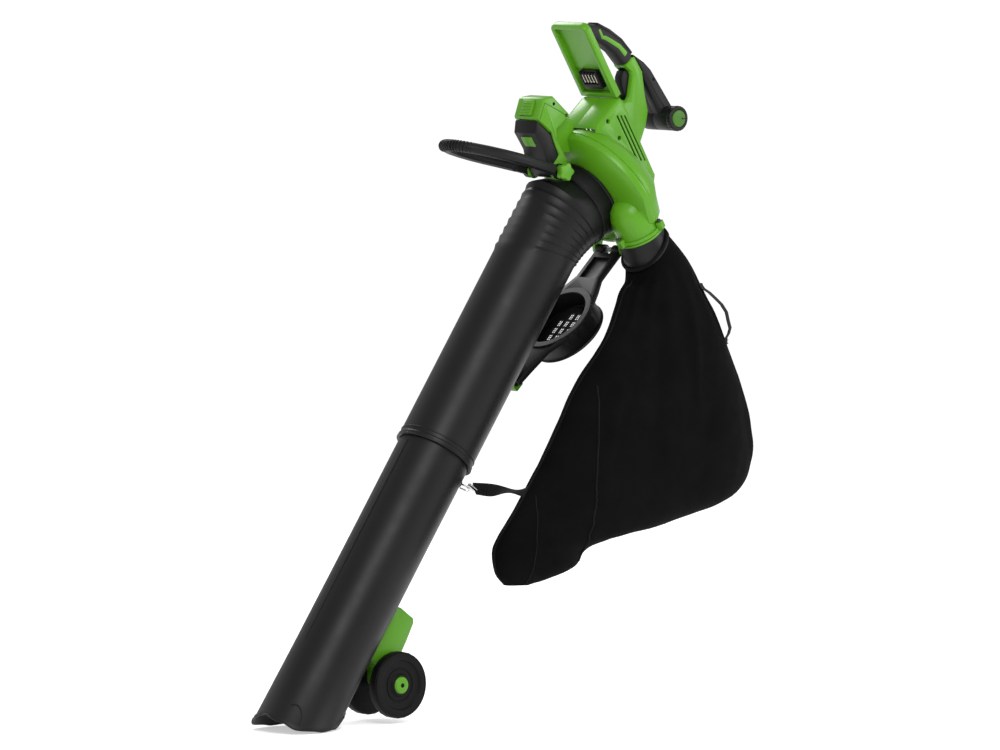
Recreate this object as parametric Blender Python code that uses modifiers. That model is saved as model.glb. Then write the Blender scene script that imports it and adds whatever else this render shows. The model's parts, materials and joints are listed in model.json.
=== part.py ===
"""Cordless leaf blower vacuum, in vacuum form, as an assembly of separate pieces.

Metres, +Z up. The nozzle points along -X, the hand side is +X, and the part is nearly
symmetric about Y = 0, apart from the outlet of the scroll, which leaves on the -Y side.
The origin is the middle of the rear grip.
"""

import math

import bpy
import bmesh
from mathutils import Matrix, Vector

# What two touching pieces keep between them
GAP = 0.0003

# Fan and scroll: where the fan's axis crosses the widest plane of the scroll, and its tilt
FAN_X, FAN_Z = -0.035, -0.225
FAN_PITCH = math.radians(31)
SCROLL_START_R = 0.088
SCROLL_END_R = 0.124
SCROLL_GROWTH = 1.9
SCROLL_WALL = 0.0025
SCROLL_REAR = -0.050
SCROLL_SEAM = -0.0045
EYE_FACE = 0.015
EYE_R = 0.070
EYE_BORE_R = 0.056
OUTLET_NEAR = 0.075
OUTLET_AHEAD = 0.006
OUTLET_R = 0.0345
OUTLET_BORE_R = 0.0315
OUTLET_TOP = 0.002
OUTLET_DOME = 0.040
OUTLET_END = 0.066
OUTLET_FACE = 0.062
FLANGE_DEPTH = 0.004
IMPELLER_R = 0.064
IMPELLER_BACK = -0.027
IMPELLER_DEPTH = 0.032
IMPELLER_BLADES = 10
SHAFT_R = 0.004

# Motor, inside the casing behind the scroll
MOTOR_R = 0.0275
MOTOR_LENGTH = 0.030
MOTOR_WALL = 0.002
BEARING_R = 0.011
BEARING_DEPTH = 0.006
MOUNT_PLATE = 0.003

# Motor casing, in two halves that meet at Y = 0
CASE_HALF_WIDTH = 0.044
CASE_WALL = 0.0028
CASE_ROUND = 0.012
LEG_HALF_WIDTH = 0.0165
LEG_ROUND = 0.006
VENTS = 3
VENT_LENGTH = 0.082
VENT_WIDTH = 0.003
VENT_PITCH = 0.0065

# Battery tray above the casing
TRAY_TOP = -0.246
TRAY_FOOT = -0.117
TRAY_HALF_WIDTH = 0.0405
TRAY_DEPTH = 0.012
TRAY_FRONT = -0.085
TRAY_RIM = 0.008
TRAY_RECESS = 0.007
TRAY_CORNER_R = 0.012
TERMINAL_SEAT = 0.0012
TERMINAL_LENGTH = 0.030
TERMINAL_WIDTH = 0.040
TERMINAL_HEIGHT = 0.009
BLADES = 5

# Handle: centre line of the grip in the side view, and its section
GRIP_LINE = ((-0.0690, 0.0208), (-0.0377, 0.0183), (-0.0160, 0.0088), (0.0060, -0.0047), (0.0258, -0.0247))
GRIP_HALF_HEIGHT = 0.0128
GRIP_HALF_WIDTH = 0.0160

# Rear arm with its cross barrel
ARM_HALF_WIDTH = 0.0145
BARREL_X, BARREL_Z = 0.107, -0.116
BARREL_R = 0.0190
BARREL_HALF_LENGTH = 0.029
DIAL_DEPTH = 0.0085
DIAL_FACE_R = 0.0130
DIAL_STUB_R = 0.005

# Tube: the axis of the straight stretch starts at the elbow point
ELBOW_X, ELBOW_Z = -0.129, -0.286
TUBE_PITCH = math.radians(55)
TUBE_R = 0.0600
TUBE_WALL = 0.0025
TUBE_JOINT = 0.389
LOWER_R = 0.0567
LOWER_INSERT = 0.050
NOZZLE_R = 0.0600
NOZZLE_END = 0.862
NOZZLE_CUT = math.radians(22)
NOZZLE_FLARE = 0.114
RIBS = 8
RIB_HEIGHT = 0.0020
SHOULDER = -0.064
TUBE_SEGMENTS = 32

# Wheels and their carriage behind the nozzle
WHEEL_TO_END = 0.140
WHEEL_ALONG = NOZZLE_END - WHEEL_TO_END
WHEEL_BACK = 0.111
WHEEL_R = 0.050
WHEEL_WIDTH = 0.018
WHEEL_NEAR = 0.034
AXLE_R = 0.004
CARRIAGE_HALF_WIDTH = 0.019
HUB_CAP_R = 0.013
HUB_CAP_DEPTH = 0.004

# Intake cover, hanging open behind the tube
HINGE_X, HINGE_Z = 0.0015, -0.313
COVER_TIP_CLEAR = 0.0099
COVER_LENGTH = 0.276
COVER_RING_AT = 0.146
COVER_RING_R = 0.060
COVER_BORE_R = 0.0515
COVER_RING_DEPTH = 0.030
COVER_FRONT = -0.004
COVER_THICK = 0.010
HINGE_PIN_R = 0.0025
HINGE_EYE_R = 0.0075
KNUCKLE_HALF = 0.0265
LUG_THICK = 0.006
GRILLE_PITCH = 0.0145
GRILLE_BAR = 0.0028
GRILLE_THICK = 0.003

# Loop handle in front of the nose
LOOP_X, LOOP_Z = -0.130, -0.188
LOOP_RISE = math.radians(13.5)
LOOP_LENGTH = 0.194
LOOP_HALF_WIDTH = 0.055
LOOP_BAR_R = 0.0085
LOOP_EYE_R = 0.012
LOOP_EYE_WIDTH = 0.010
BRACKET_HALF_WIDTH = 0.0250
PIVOT_R = 0.004
KNOB_R = 0.0145
KNOB_DEPTH = 0.012

# Bag neck below the outlet
NECK_R = 0.0350
NECK_WALL = 0.0025
NECK_END_R = 0.0383
NECK_END_X, NECK_END_Z = 0.0073, -0.3106
NECK_END_TILT = math.radians(50)
NECK_SPIGOT = 0.014
COLLAR_DEPTH = 0.006

# Eye behind the tube, and the snap hook in it
EYE_HOLE_BACK, EYE_HOLE_ALONG = 0.066, 0.399
EYE_HOLE_R = 0.0037
HOOK_R = 0.0105
HOOK_WIRE_R = 0.0016
HOOK_BAR_Y = 0.0250

# Nose
NOSE_HALF_WIDTH = 0.0285
NOSE_WALL = 0.003
BUTTON_TRAVEL = 0.004

GREEN = ("green_plastic", (0.159, 0.418, 0.041), 0.42, 0.0)
BLACK = ("black_plastic", (0.016, 0.016, 0.018), 0.40, 0.0)
SOFT_GRIP = ("soft_grip", (0.020, 0.018, 0.024), 0.75, 0.0)
STEEL = ("steel", (0.55, 0.55, 0.56), 0.30, 1.0)
COPPER_BLADE = ("contact_metal", (0.75, 0.72, 0.62), 0.35, 1.0)
BOARD = ("board", (0.02, 0.12, 0.05), 0.50, 0.0)
FABRIC = ("bag_fabric", (0.010, 0.010, 0.011), 0.90, 0.0)
WEBBING = ("webbing", (0.014, 0.014, 0.015), 0.85, 0.0)
RUBBER = ("wheel_rubber", (0.013, 0.013, 0.014), 0.65, 0.0)


def clear_scene():
    for obj in list(bpy.data.objects):
        bpy.data.objects.remove(obj, do_unlink=True)


clear_scene()
PART = bpy.data.collections.new("cordless_leaf_blower_vacuum")
CUTTERS = bpy.data.collections.new("cutters")
for made in (PART, CUTTERS):
    bpy.context.scene.collection.children.link(made)


def material(spec):
    name, colour, roughness, metallic = spec
    found = bpy.data.materials.get(name)
    if found:
        return found
    found = bpy.data.materials.new(name)
    found.use_nodes = True
    shader = found.node_tree.nodes["Principled BSDF"]
    shader.inputs["Base Color"].default_value = (*colour, 1.0)
    shader.inputs["Roughness"].default_value = roughness
    shader.inputs["Metallic"].default_value = metallic
    found.diffuse_color = (*colour, 1.0)
    return found


def side_frame(x, z, pitch):
    """Local Z leaves at pitch below the forward horizontal, local X points down and back, local Y to the near side."""
    s, c = math.sin(pitch), math.cos(pitch)
    return Matrix(((s, 0, -c, x), (0, -1, 0, 0), (-c, 0, -s, z), (0, 0, 0, 1)))


def moved(frame, x=0.0, y=0.0, z=0.0):
    return frame @ Matrix.Translation((x, y, z))


SIDE = Matrix(((1, 0, 0, 0), (0, 0, -1, 0), (0, 1, 0, 0), (0, 0, 0, 1)))
FAN = side_frame(FAN_X, FAN_Z, FAN_PITCH)
TUBE = side_frame(ELBOW_X, ELBOW_Z, TUBE_PITCH)
HINGE_BEHIND = (TUBE.inverted() @ Vector((HINGE_X, 0, HINGE_Z))).x
COVER_PITCH = TUBE_PITCH - math.asin((HINGE_BEHIND - TUBE_R - COVER_TIP_CLEAR) / COVER_LENGTH)
COVER = side_frame(HINGE_X, HINGE_Z, COVER_PITCH)
# Local Z along a frame's X axis, and along its Y axis (the near side)
ALONG_X = Matrix(((0, 0, 1, 0), (0, 1, 0, 0), (-1, 0, 0, 0), (0, 0, 0, 1)))
ALONG_Y = Matrix(((1, 0, 0, 0), (0, 0, 1, 0), (0, -1, 0, 0), (0, 0, 0, 1)))


def side_point(frame, x, z):
    """A point of a frame's side view as (x, z) in the world."""
    point = frame @ Vector((x, 0, z))
    return point.x, point.z


def outline_in(frame, points):
    return [side_point(frame, x, z) for x, z in points]


def add(name, mesh, frame=Matrix(), spec=None):
    obj = bpy.data.objects.new(name, mesh)
    PART.objects.link(obj)
    obj.matrix_world = frame
    if spec:
        mesh.materials.clear()
        mesh.materials.append(material(spec))
    return obj


def finished_mesh(obj):
    """The object's mesh with its modifiers applied, and the object removed."""
    bpy.context.view_layer.update()
    graph = bpy.context.evaluated_depsgraph_get()
    mesh = bpy.data.meshes.new_from_object(obj.evaluated_get(graph))
    bm = bmesh.new()
    bm.from_mesh(mesh)
    bmesh.ops.remove_doubles(bm, verts=bm.verts, dist=1e-6)
    bmesh.ops.recalc_face_normals(bm, faces=bm.faces)
    bm.to_mesh(mesh)
    bm.free()
    bpy.data.objects.remove(obj, do_unlink=True)
    return mesh


def retire(tool):
    if tool.name in PART.objects:
        PART.objects.unlink(tool)
        CUTTERS.objects.link(tool)
    tool.hide_render = True
    tool.display_type = "WIRE"


def combine(obj, tools, operation):
    for tool in tools:
        step = obj.modifiers.new(operation.lower(), "BOOLEAN")
        step.operation = operation
        step.solver = "EXACT"
        step.object = tool
        retire(tool)
    return obj


def cut(obj, *tools):
    return combine(obj, tools, "DIFFERENCE")


def join(obj, *tools):
    return combine(obj, tools, "UNION")


def applied(obj):
    """The same object with its modifiers applied."""
    name, frame = obj.name, obj.matrix_world.copy()
    mesh = finished_mesh(obj)
    made = bpy.data.objects.new(name, mesh)
    PART.objects.link(made)
    made.matrix_world = frame
    return made


def smooth(obj, degrees=35):
    obj.data.shade_smooth()
    obj.data.set_sharp_from_angle(angle=math.radians(degrees))
    return obj


def outline_mesh(loops, low, high):
    """A flat outline, with any holes, as a plate between two heights."""
    curve = bpy.data.curves.new("outline", "CURVE")
    curve.dimensions = "2D"
    curve.fill_mode = "BOTH"
    curve.extrude = (high - low) / 2
    for loop in loops:
        spline = curve.splines.new("POLY")
        spline.points.add(len(loop) - 1)
        for point, (x, y) in zip(spline.points, loop):
            point.co = (x, y, 0, 1)
        spline.use_cyclic_u = True
    guide = bpy.data.objects.new("outline", curve)
    PART.objects.link(guide)
    mesh = finished_mesh(guide)
    bpy.data.curves.remove(curve)
    bm = bmesh.new()
    bm.from_mesh(mesh)
    bmesh.ops.translate(bm, verts=bm.verts, vec=(0, 0, (low + high) / 2))
    bmesh.ops.dissolve_limit(bm, angle_limit=0.001, verts=bm.verts, edges=bm.edges)
    bmesh.ops.recalc_face_normals(bm, faces=bm.faces)
    bm.to_mesh(mesh)
    bm.free()
    return mesh


def plate(name, loop, low, high, frame=SIDE, spec=None, holes=(), bevel=0.0, segments=2):
    obj = add(name, outline_mesh([loop, *holes], low, high), frame, spec)
    if bevel:
        edge = obj.modifiers.new("edges", "BEVEL")
        edge.width = bevel
        edge.segments = segments
        edge.limit_method = "ANGLE"
        edge.angle_limit = math.radians(50)
        edge.use_clamp_overlap = True
    return obj


def block(name, low, high, frame=Matrix(), spec=None, bevel=0.0):
    bm = bmesh.new()
    bmesh.ops.create_cube(bm, size=1.0)
    for vert in bm.verts:
        vert.co = Vector(
            (low[i] + high[i]) / 2 + vert.co[i] * (high[i] - low[i]) for i in range(3)
        )
    mesh = bpy.data.meshes.new(name)
    bm.to_mesh(mesh)
    bm.free()
    obj = add(name, mesh, frame, spec)
    if bevel:
        edge = obj.modifiers.new("edges", "BEVEL")
        edge.width = bevel
        edge.segments = 2
    return obj


def rod(name, radius, low, high, frame=Matrix(), spec=None, sides=24):
    """A cylinder along the frame's local Z."""
    bm = bmesh.new()
    bmesh.ops.create_cone(
        bm, cap_ends=True, segments=sides, radius1=radius, radius2=radius, depth=high - low
    )
    bmesh.ops.translate(bm, verts=bm.verts, vec=(0, 0, (low + high) / 2))
    mesh = bpy.data.meshes.new(name)
    bm.to_mesh(mesh)
    bm.free()
    return smooth(add(name, mesh, frame, spec))


def turned(name, profile, frame=Matrix(), spec=None, sides=32, closed=False):
    """A profile of (radius, height) turned about the frame's local Z."""
    mesh = bpy.data.meshes.new(name)
    count = len(profile)
    edges = [(i, (i + 1) % count) for i in range(count if closed else count - 1)]
    mesh.from_pydata([(r, 0, z) for r, z in profile], edges, [])
    guide = bpy.data.objects.new(name, mesh)
    PART.objects.link(guide)
    screw = guide.modifiers.new("turn", "SCREW")
    screw.axis = "Z"
    screw.steps = screw.render_steps = sides
    screw.use_merge_vertices = True
    screw.merge_threshold = 1e-6
    return smooth(add(name, finished_mesh(guide), frame, spec))


def ring(name, inner, outer, low, high, frame=Matrix(), spec=None, sides=32):
    profile = [(outer, high), (outer, low), (inner, low), (inner, high)]
    return turned(name, profile, frame, spec, sides, closed=True)


def loft(name, rows, frame=Matrix(), spec=None):
    """A closed skin through rows of points, with a cap at each end."""
    bm = bmesh.new()
    made = [[bm.verts.new(point) for point in row] for row in rows]
    count = len(rows[0])
    for a, b in zip(made, made[1:]):
        for i in range(count):
            j = (i + 1) % count
            bm.faces.new((a[i], a[j], b[j], b[i]))
    bm.faces.new(made[0])
    bm.faces.new(list(reversed(made[-1])))
    bmesh.ops.recalc_face_normals(bm, faces=bm.faces)
    mesh = bpy.data.meshes.new(name)
    bm.to_mesh(mesh)
    bm.free()
    return smooth(add(name, mesh, frame, spec))


def swept(name, points, radius, frame=Matrix(), spec=None, resolution=2, cyclic=False):
    """A round bar along a list of points, as a mesh."""
    curve = bpy.data.curves.new(name, "CURVE")
    curve.dimensions = "3D"
    curve.bevel_depth = radius
    curve.bevel_resolution = resolution
    curve.use_fill_caps = True
    spline = curve.splines.new("POLY")
    spline.points.add(len(points) - 1)
    for point, co in zip(spline.points, points):
        point.co = (*co, 1)
    spline.use_cyclic_u = cyclic
    guide = bpy.data.objects.new(name, curve)
    PART.objects.link(guide)
    mesh = finished_mesh(guide)
    bpy.data.curves.remove(curve)
    return smooth(add(name, mesh, frame, spec))


def arc(x, y, radius, start, end, steps):
    """Points on an arc, with angles in degrees."""
    angles = [math.radians(start + (end - start) * i / steps) for i in range(steps + 1)]
    return [(x + radius * math.cos(t), y + radius * math.sin(t)) for t in angles]


def half(obj, near):
    """One half of a piece, cut at Y = 0 with half the gap."""
    side = 1 if near else -1
    reach = 1.0
    bounds = sorted((-side * reach, side * GAP / 2))
    tool = block(obj.name + "_halving", (-reach, -bounds[1], -reach), (reach, -bounds[0], reach))
    return cut(obj, tool)


def scroll_radius(angle):
    """The scroll's outer radius: angle in degrees, 22 at the tongue, falling to -270 at the outlet side."""
    part = (22 - angle) / 292
    return SCROLL_START_R + (SCROLL_END_R - SCROLL_START_R) * part**SCROLL_GROWTH


def scroll_row(height, inset, grow=0.0, blend=0.0, circle=EYE_R):
    """One row of the scroll at a height on the fan's axis; blend draws it to a circle."""
    row = []
    for i in range(33):
        angle = 22 - 292 * i / 32
        radius = scroll_radius(angle) - inset
        row.append((angle, radius))
    slope = (SCROLL_END_R - OUTLET_NEAR - OUTLET_R) / OUTLET_FACE
    for k, share in enumerate((1.15, 1.25, 1.1, 0.8, 0.6)):
        angle = -270 - 68 * (k + 1) / 6
        s, c = math.sin(math.radians(angle)), math.cos(math.radians(angle))
        radius = min(SCROLL_END_R / (s + slope * c), OUTLET_FACE / c) - inset * share
        row.append((angle, radius))
    made = []
    for angle, radius in row:
        radius = radius * (1 - blend) + circle * blend + grow
        t = math.radians(angle)
        made.append((radius * math.cos(t), radius * math.sin(t), height))
    return made


# Height on the fan's axis and inset of each row of the scroll, rear to front
SCROLL_ROWS = ((0.0, 0.042), (0.10, 0.030), (0.28, 0.018), (0.52, 0.007), (0.77, 0.0012), (1.0, 0.0))


def scroll_solid(name, grow=0.0):
    rows = []
    for part, inset in SCROLL_ROWS:
        height = SCROLL_REAR * (1 - part) - (grow if part == 0 else 0)
        rows.append(scroll_row(height, inset, grow))
    rows.append(scroll_row(EYE_FACE * 0.45 + grow / 2, 0.003, grow))
    rows.append(scroll_row(EYE_FACE * 0.8 + grow, 0.012, grow))
    rows.append(scroll_row(EYE_FACE + grow, 0.0, grow, blend=1.0))
    return loft(name, rows, FAN)


def outlet_frame():
    return moved(FAN, 0, OUTLET_NEAR, OUTLET_AHEAD) @ ALONG_X


def outlet_horn(name, radius, low, high, sides=30):
    """The outlet: a dome that grows out of the scroll's front, then a straight pipe."""
    rise = OUTLET_DOME - low
    dome = [(radius * share, low + rise * part) for share, part in ((1, 1), (0.93, 0.63), (0.78, 0.32), (0.5, 0.08))]
    profile = [(0, high), (radius, high), *dome, (0, low)]
    return turned(name, profile, outlet_frame(), sides=sides)


def hinge_lug(near):
    """A lug of the scroll that carries the cover's pin."""
    x, z = HINGE_X, HINGE_Z
    low = near * (KNUCKLE_HALF + GAP) if near > 0 else near * (KNUCKLE_HALF + GAP + LUG_THICK)
    foot = outline_in(FAN, ((0.062, 0.009), (0.076, -0.010)))
    loop = [foot[0], *arc(x, z, HINGE_EYE_R, -150, 20, 6), foot[1]]
    return plate("lug", loop, low, low + LUG_THICK, holes=[circle(x, z, HINGE_PIN_R + GAP, 16)])


def make_scroll():
    whole = scroll_solid("scroll")
    hollow = scroll_solid("scroll_hollow", -SCROLL_WALL)
    join(whole, outlet_horn("outlet_pipe", OUTLET_R, OUTLET_TOP, OUTLET_END), hinge_lug(1), hinge_lug(-1))
    bore = outlet_horn("outlet_bore", OUTLET_BORE_R, OUTLET_TOP + 0.004, OUTLET_END + 0.01, 34)
    eye = rod("eye_bore", EYE_BORE_R, -0.002, EYE_FACE + 0.01, FAN, sides=40)
    shaft_hole = rod("shaft_hole", BEARING_R + 0.002, SCROLL_REAR - 0.01, SCROLL_REAR + 0.01, FAN)
    cut(whole, hollow, bore, eye, shaft_hole)
    whole = applied(whole)
    reach = 0.4
    for name, low, high in (
        ("volute_rear", SCROLL_SEAM - GAP / 2, reach),
        ("volute_front", -reach, SCROLL_SEAM + GAP / 2),
    ):
        piece = add(name, whole.data.copy(), FAN, GREEN)
        cut(piece, block(name + "_parting", (-reach, -reach, low), (reach, reach, high), FAN))
        smooth(piece)
    bpy.data.objects.remove(whole, do_unlink=True)


def inset(points, distance):
    """A polygon moved inwards by a distance, edge by edge."""
    count = len(points)
    area = sum(points[i - 1][0] * points[i][1] - points[i][0] * points[i - 1][1] for i in range(count))
    side = 1 if area > 0 else -1
    made = []
    for i in range(count):
        before, here, after = Vector(points[i - 1]), Vector(points[i]), Vector(points[(i + 1) % count])
        a, b = (here - before).normalized(), (after - here).normalized()
        normal_a, normal_b = Vector((-a.y, a.x)) * side, Vector((-b.y, b.x)) * side
        made.append(tuple(here + (normal_a + normal_b) * (distance / max(0.3, 1 + normal_a.dot(normal_b)))))
    return made


def circle(x, y, radius, steps=24):
    return arc(x, y, radius, 0, 360 * (steps - 1) / steps, steps - 1)


def at(x, z):
    """The side frame with its origin on an axis across the machine."""
    return Matrix.Translation((x, 0, z)) @ SIDE


def about(x, z, points):
    return [(a - x, b - z) for a, b in points]


def helix(name, radius, wire, low, high, turns, frame, spec, legs=()):
    """A coiled wire along the frame's local Z."""
    steps = int(turns * 8)
    points = [
        (
            radius * math.cos(math.tau * turns * i / steps),
            radius * math.sin(math.tau * turns * i / steps),
            low + (high - low) * i / steps,
        )
        for i in range(steps + 1)
    ]
    if legs:
        points = [legs[0], *points, legs[1]]
    return swept(name, points, wire, frame, spec, resolution=0)


def make_impeller():
    back, front = IMPELLER_BACK, IMPELLER_BACK + IMPELLER_DEPTH
    hub_top = back + 0.014
    bore = SHAFT_R + GAP
    disc = turned(
        "impeller",
        [(bore, hub_top), (0.012, hub_top), (0.020, back + 0.006), (IMPELLER_R, back + 0.0025), (IMPELLER_R, back),
         (bore, back)],
        FAN, BLACK, 30, closed=True,
    )
    blades = []
    for i in range(IMPELLER_BLADES):
        start = math.tau * i / IMPELLER_BLADES
        line = [(0.018 + (IMPELLER_R - 0.020) * k / 4, start - 0.75 * k / 4) for k in range(5)]
        loop = [(r * math.cos(t), r * math.sin(t)) for r, t in line]
        loop += [(r * math.cos(t + 0.0018 / r), r * math.sin(t + 0.0018 / r)) for r, t in reversed(line)]
        blades.append(plate(f"blade_{i}", loop, back + 0.001, front, FAN))
    join(disc, *blades)
    smooth(disc)
    plate("impeller_nut", circle(0, 0, 0.0068, 6), hub_top + GAP, hub_top + 0.006, FAN, STEEL,
          holes=[circle(0, 0, 0.0028, 16)])


def make_motor():
    plate_top = SCROLL_REAR - GAP
    plate_low = plate_top - MOUNT_PLATE
    boss_low = plate_low - 0.0037
    boss_r = BEARING_R + 0.0028
    seat_r = BEARING_R + GAP
    turned(
        "motor_mount",
        [(seat_r, plate_top), (seat_r, boss_low), (boss_r, boss_low), (boss_r, plate_low), (MOTOR_R, plate_low),
         (MOTOR_R, plate_top)],
        FAN, STEEL, 24, closed=True,
    )
    ring("front_bearing", SHAFT_R + GAP, BEARING_R, plate_top - BEARING_DEPTH, plate_top, FAN, STEEL, 16)
    top = plate_low - GAP
    low = top - MOTOR_LENGTH
    floor = low + MOTOR_WALL
    seat_top = floor + BEARING_DEPTH
    turned(
        "motor_can",
        [(MOTOR_R, top), (MOTOR_R, low), (0.0055, low), (0.0055, floor), (seat_r, floor), (seat_r, seat_top),
         (boss_r, seat_top), (boss_r, floor), (MOTOR_R - MOTOR_WALL, floor), (MOTOR_R - MOTOR_WALL, top)],
        FAN, STEEL, 24, closed=True,
    )
    ring("rear_bearing", SHAFT_R + GAP, BEARING_R, floor + GAP, seat_top, FAN, STEEL, 16)
    hub_top = IMPELLER_BACK + 0.014
    core_low, core_high = seat_top + 0.002, boss_low - 0.002
    turned(
        "motor_rotor",
        [(0, low + 0.001), (SHAFT_R, low + 0.001), (SHAFT_R, core_low), (0.017, core_low), (0.017, core_high),
         (SHAFT_R, core_high), (SHAFT_R, hub_top), (0.0025, hub_top), (0.0025, hub_top + 0.0075),
         (0, hub_top + 0.0075)],
        FAN, STEEL, 18,
    )


# Casing in the side view of the fan's frame, from the top of its rear face
CASE_OUTLINE = (
    (-0.1165, -0.0970), (-0.1165, -0.0840), (-0.1060, -0.0300), (-0.0900, -0.0100), (0.0420, -0.0100),
    (0.0500, -0.0300), (0.0510, -0.0740), (0.0260, -0.0940), (-0.0570, -0.0955),
)
# Leg between the casing and the grip, below the grip's end
LEG_LOW = (
    (0.0540, -0.0430), (0.0595, -0.0770), (0.0660, -0.1040), (0.0620, -0.1250), (0.0450, -0.1650),
    (0.0100, -0.1450), (-0.0120, -0.1000), (0.0250, -0.0860), (0.0320, -0.0450),
)
TRIGGER_X, TRIGGER_Z = 0.0370, -0.0450
TRIGGER_OUTLINE = (
    (0.0370, -0.0395), (0.0280, -0.0395), (0.0205, -0.0425), (0.0165, -0.0515), (0.0170, -0.0620),
    (0.0215, -0.0735), (0.0270, -0.0835), (0.0340, -0.0820), (0.0400, -0.0600), (0.0420, -0.0480),
    (0.0415, -0.0420),
)
TRIGGER_HALF_WIDTH = 0.008
SLOT_OUTLINE = (
    (-0.0100, -0.0375), (0.0445, -0.0375), (0.0450, -0.0540), (0.0530, -0.0570), (0.0535, -0.0870),
    (-0.0100, -0.0870),
)
TRUNNION_R = 0.0020
SCREW_PLACES = ((-0.098, -0.050), (-0.064, -0.0565))


def grip_end(side, offset=0.0):
    """A corner of the plane where the grip ends."""
    end, before = Vector(GRIP_LINE[-1]), Vector(GRIP_LINE[-2])
    along = (end - before).normalized()
    across = Vector((-along.y, along.x))
    return tuple(end + along * offset + across * side * GRIP_HALF_HEIGHT)


def leg_outline():
    return [grip_end(-1, GAP), grip_end(1, GAP), *LEG_LOW]


def make_casing():
    body = plate("casing", list(CASE_OUTLINE), -CASE_HALF_WIDTH, CASE_HALF_WIDTH, FAN @ SIDE, bevel=CASE_ROUND)
    leg = plate("leg", leg_outline(), -LEG_HALF_WIDTH, LEG_HALF_WIDTH, SIDE, bevel=LEG_ROUND)
    inner_line = inset([(x, z + 0.03 if z > -0.02 else z) for x, z in CASE_OUTLINE], CASE_WALL)
    inner_half = CASE_HALF_WIDTH - CASE_WALL
    inner = plate("casing_hollow", inner_line, -inner_half, inner_half, FAN @ SIDE, bevel=CASE_ROUND - CASE_WALL)
    join(body, leg)
    slot = TRIGGER_HALF_WIDTH + 0.0006
    trunnion = rod("trunnion_hole", TRUNNION_R + GAP, -0.0125, 0.0125, at(TRIGGER_X, TRIGGER_Z))
    cut(body, inner, scroll_solid("casing_to_scroll", GAP), plate("trigger_slot", SLOT_OUTLINE, -slot, slot),
        trunnion)
    for i in range(VENTS):
        z = -0.070 - VENT_PITCH * i
        x = -0.096 + 0.004 * i
        cut(body, block(f"vent_{i}", (x, -0.06, z - VENT_WIDTH / 2), (x + VENT_LENGTH, 0.06, z + VENT_WIDTH / 2),
                        FAN))
    whole = applied(body)
    for name, near in (("housing_left", False), ("housing_right", True)):
        piece = add(name, whole.data.copy(), whole.matrix_world, GREEN)
        half(piece, near)
        if near:
            across = [moved(FAN, x, 0, z) @ ALONG_Y for x, z in SCREW_PLACES]
            join(piece, *[rod(f"boss_{i}", 0.0055, 0.018, CASE_HALF_WIDTH - 0.0015, f, sides=20)
                          for i, f in enumerate(across)])
            cut(piece, *[rod(f"sink_{i}", 0.0036, 0.038, 0.06, f, sides=20) for i, f in enumerate(across)],
                *[rod(f"pilot_{i}", 0.0020, 0.010, 0.039, f, sides=12) for i, f in enumerate(across)])
            for i, f in enumerate(across):
                turned(f"casing_screw_{i + 1}", [(0, 0.0405), (0.0032, 0.0405), (0.0032, 0.0383), (0.0017, 0.0383),
                                                 (0.0017, 0.020), (0, 0.020)], f, STEEL, 16)
        smooth(piece)
    bpy.data.objects.remove(whole, do_unlink=True)


def make_trigger():
    frame = at(TRIGGER_X, TRIGGER_Z)
    trigger = plate("trigger", about(TRIGGER_X, TRIGGER_Z, TRIGGER_OUTLINE),
                    -TRIGGER_HALF_WIDTH, TRIGGER_HALF_WIDTH, frame, BLACK, bevel=0.0012)
    join(trigger, rod("trunnion", TRUNNION_R, -0.0115, 0.0115, frame))
    smooth(trigger)
    block("trigger_switch", (0.0474, -0.0070, -0.0845), (0.0525, 0.0070, -0.0595), spec=BLACK, bevel=0.0005)
    helix("trigger_spring", 0.0024, 0.0004, 0.0386, 0.0469, 4, Matrix.Translation((0, 0, -0.0705)) @ ALONG_X,
          STEEL)


def tray_outline(grow=0.0):
    """The tray from the front, rounded at its upper corners."""
    r, top, foot, side = TRAY_CORNER_R + grow, TRAY_TOP - grow, TRAY_FOOT + grow, TRAY_HALF_WIDTH + grow
    return [(foot, -side), (foot, side), *arc(top + r, side - r, r, 90, 180, 5), *arc(top + r, r - side, r, 180, 270, 5)]


def make_tray():
    tray = plate("battery_tray", tray_outline(), TRAY_FRONT - TRAY_DEPTH, TRAY_FRONT, FAN, GREEN, bevel=0.0022)
    floor = TRAY_FRONT - TRAY_RECESS
    low = TRAY_FOOT - TRAY_RIM - 0.008 - TERMINAL_LENGTH
    side = TRAY_HALF_WIDTH - TRAY_RIM
    seat = floor - TERMINAL_SEAT
    cut(tray, plate("bay", tray_outline(-TRAY_RIM), floor, TRAY_FRONT + 0.01, FAN),
        block("terminal_seat", (low - 0.002, -side, seat), (TRAY_FOOT - TRAY_RIM, side, floor + 0.001), FAN))
    smooth(tray)
    terminal = block("terminal_block", (low, -TERMINAL_WIDTH / 2, seat + GAP),
                     (low + TERMINAL_LENGTH, TERMINAL_WIDTH / 2, floor + TERMINAL_HEIGHT), FAN, BLACK, bevel=0.0012)
    pocket = block("pocket", (low - 0.001, -0.0165, floor + 0.003), (low + 0.022, 0.0165, floor + 0.02), FAN)
    cut(terminal, pocket)
    base = block("terminal_contacts", (low + 0.004, -0.0155, floor + 0.003 + GAP),
                 (low + 0.020, 0.0155, floor + 0.0045), FAN, COPPER_BLADE)
    blades = []
    for i in range(BLADES):
        y = -0.0135 + 0.027 * i / (BLADES - 1)
        blades.append(block(f"contact_{i}", (low + 0.005, y - 0.0005, floor + 0.004),
                            (low + 0.019, y + 0.0005, floor + TERMINAL_HEIGHT - 0.001), FAN))
    join(base, *blades)
    front = IMPELLER_BACK - 0.051
    across = CASE_HALF_WIDTH - CASE_WALL - GAP
    block("control_board", (-0.102, -across, front - 0.0016), (-0.046, across, front), FAN, BOARD)


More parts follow.
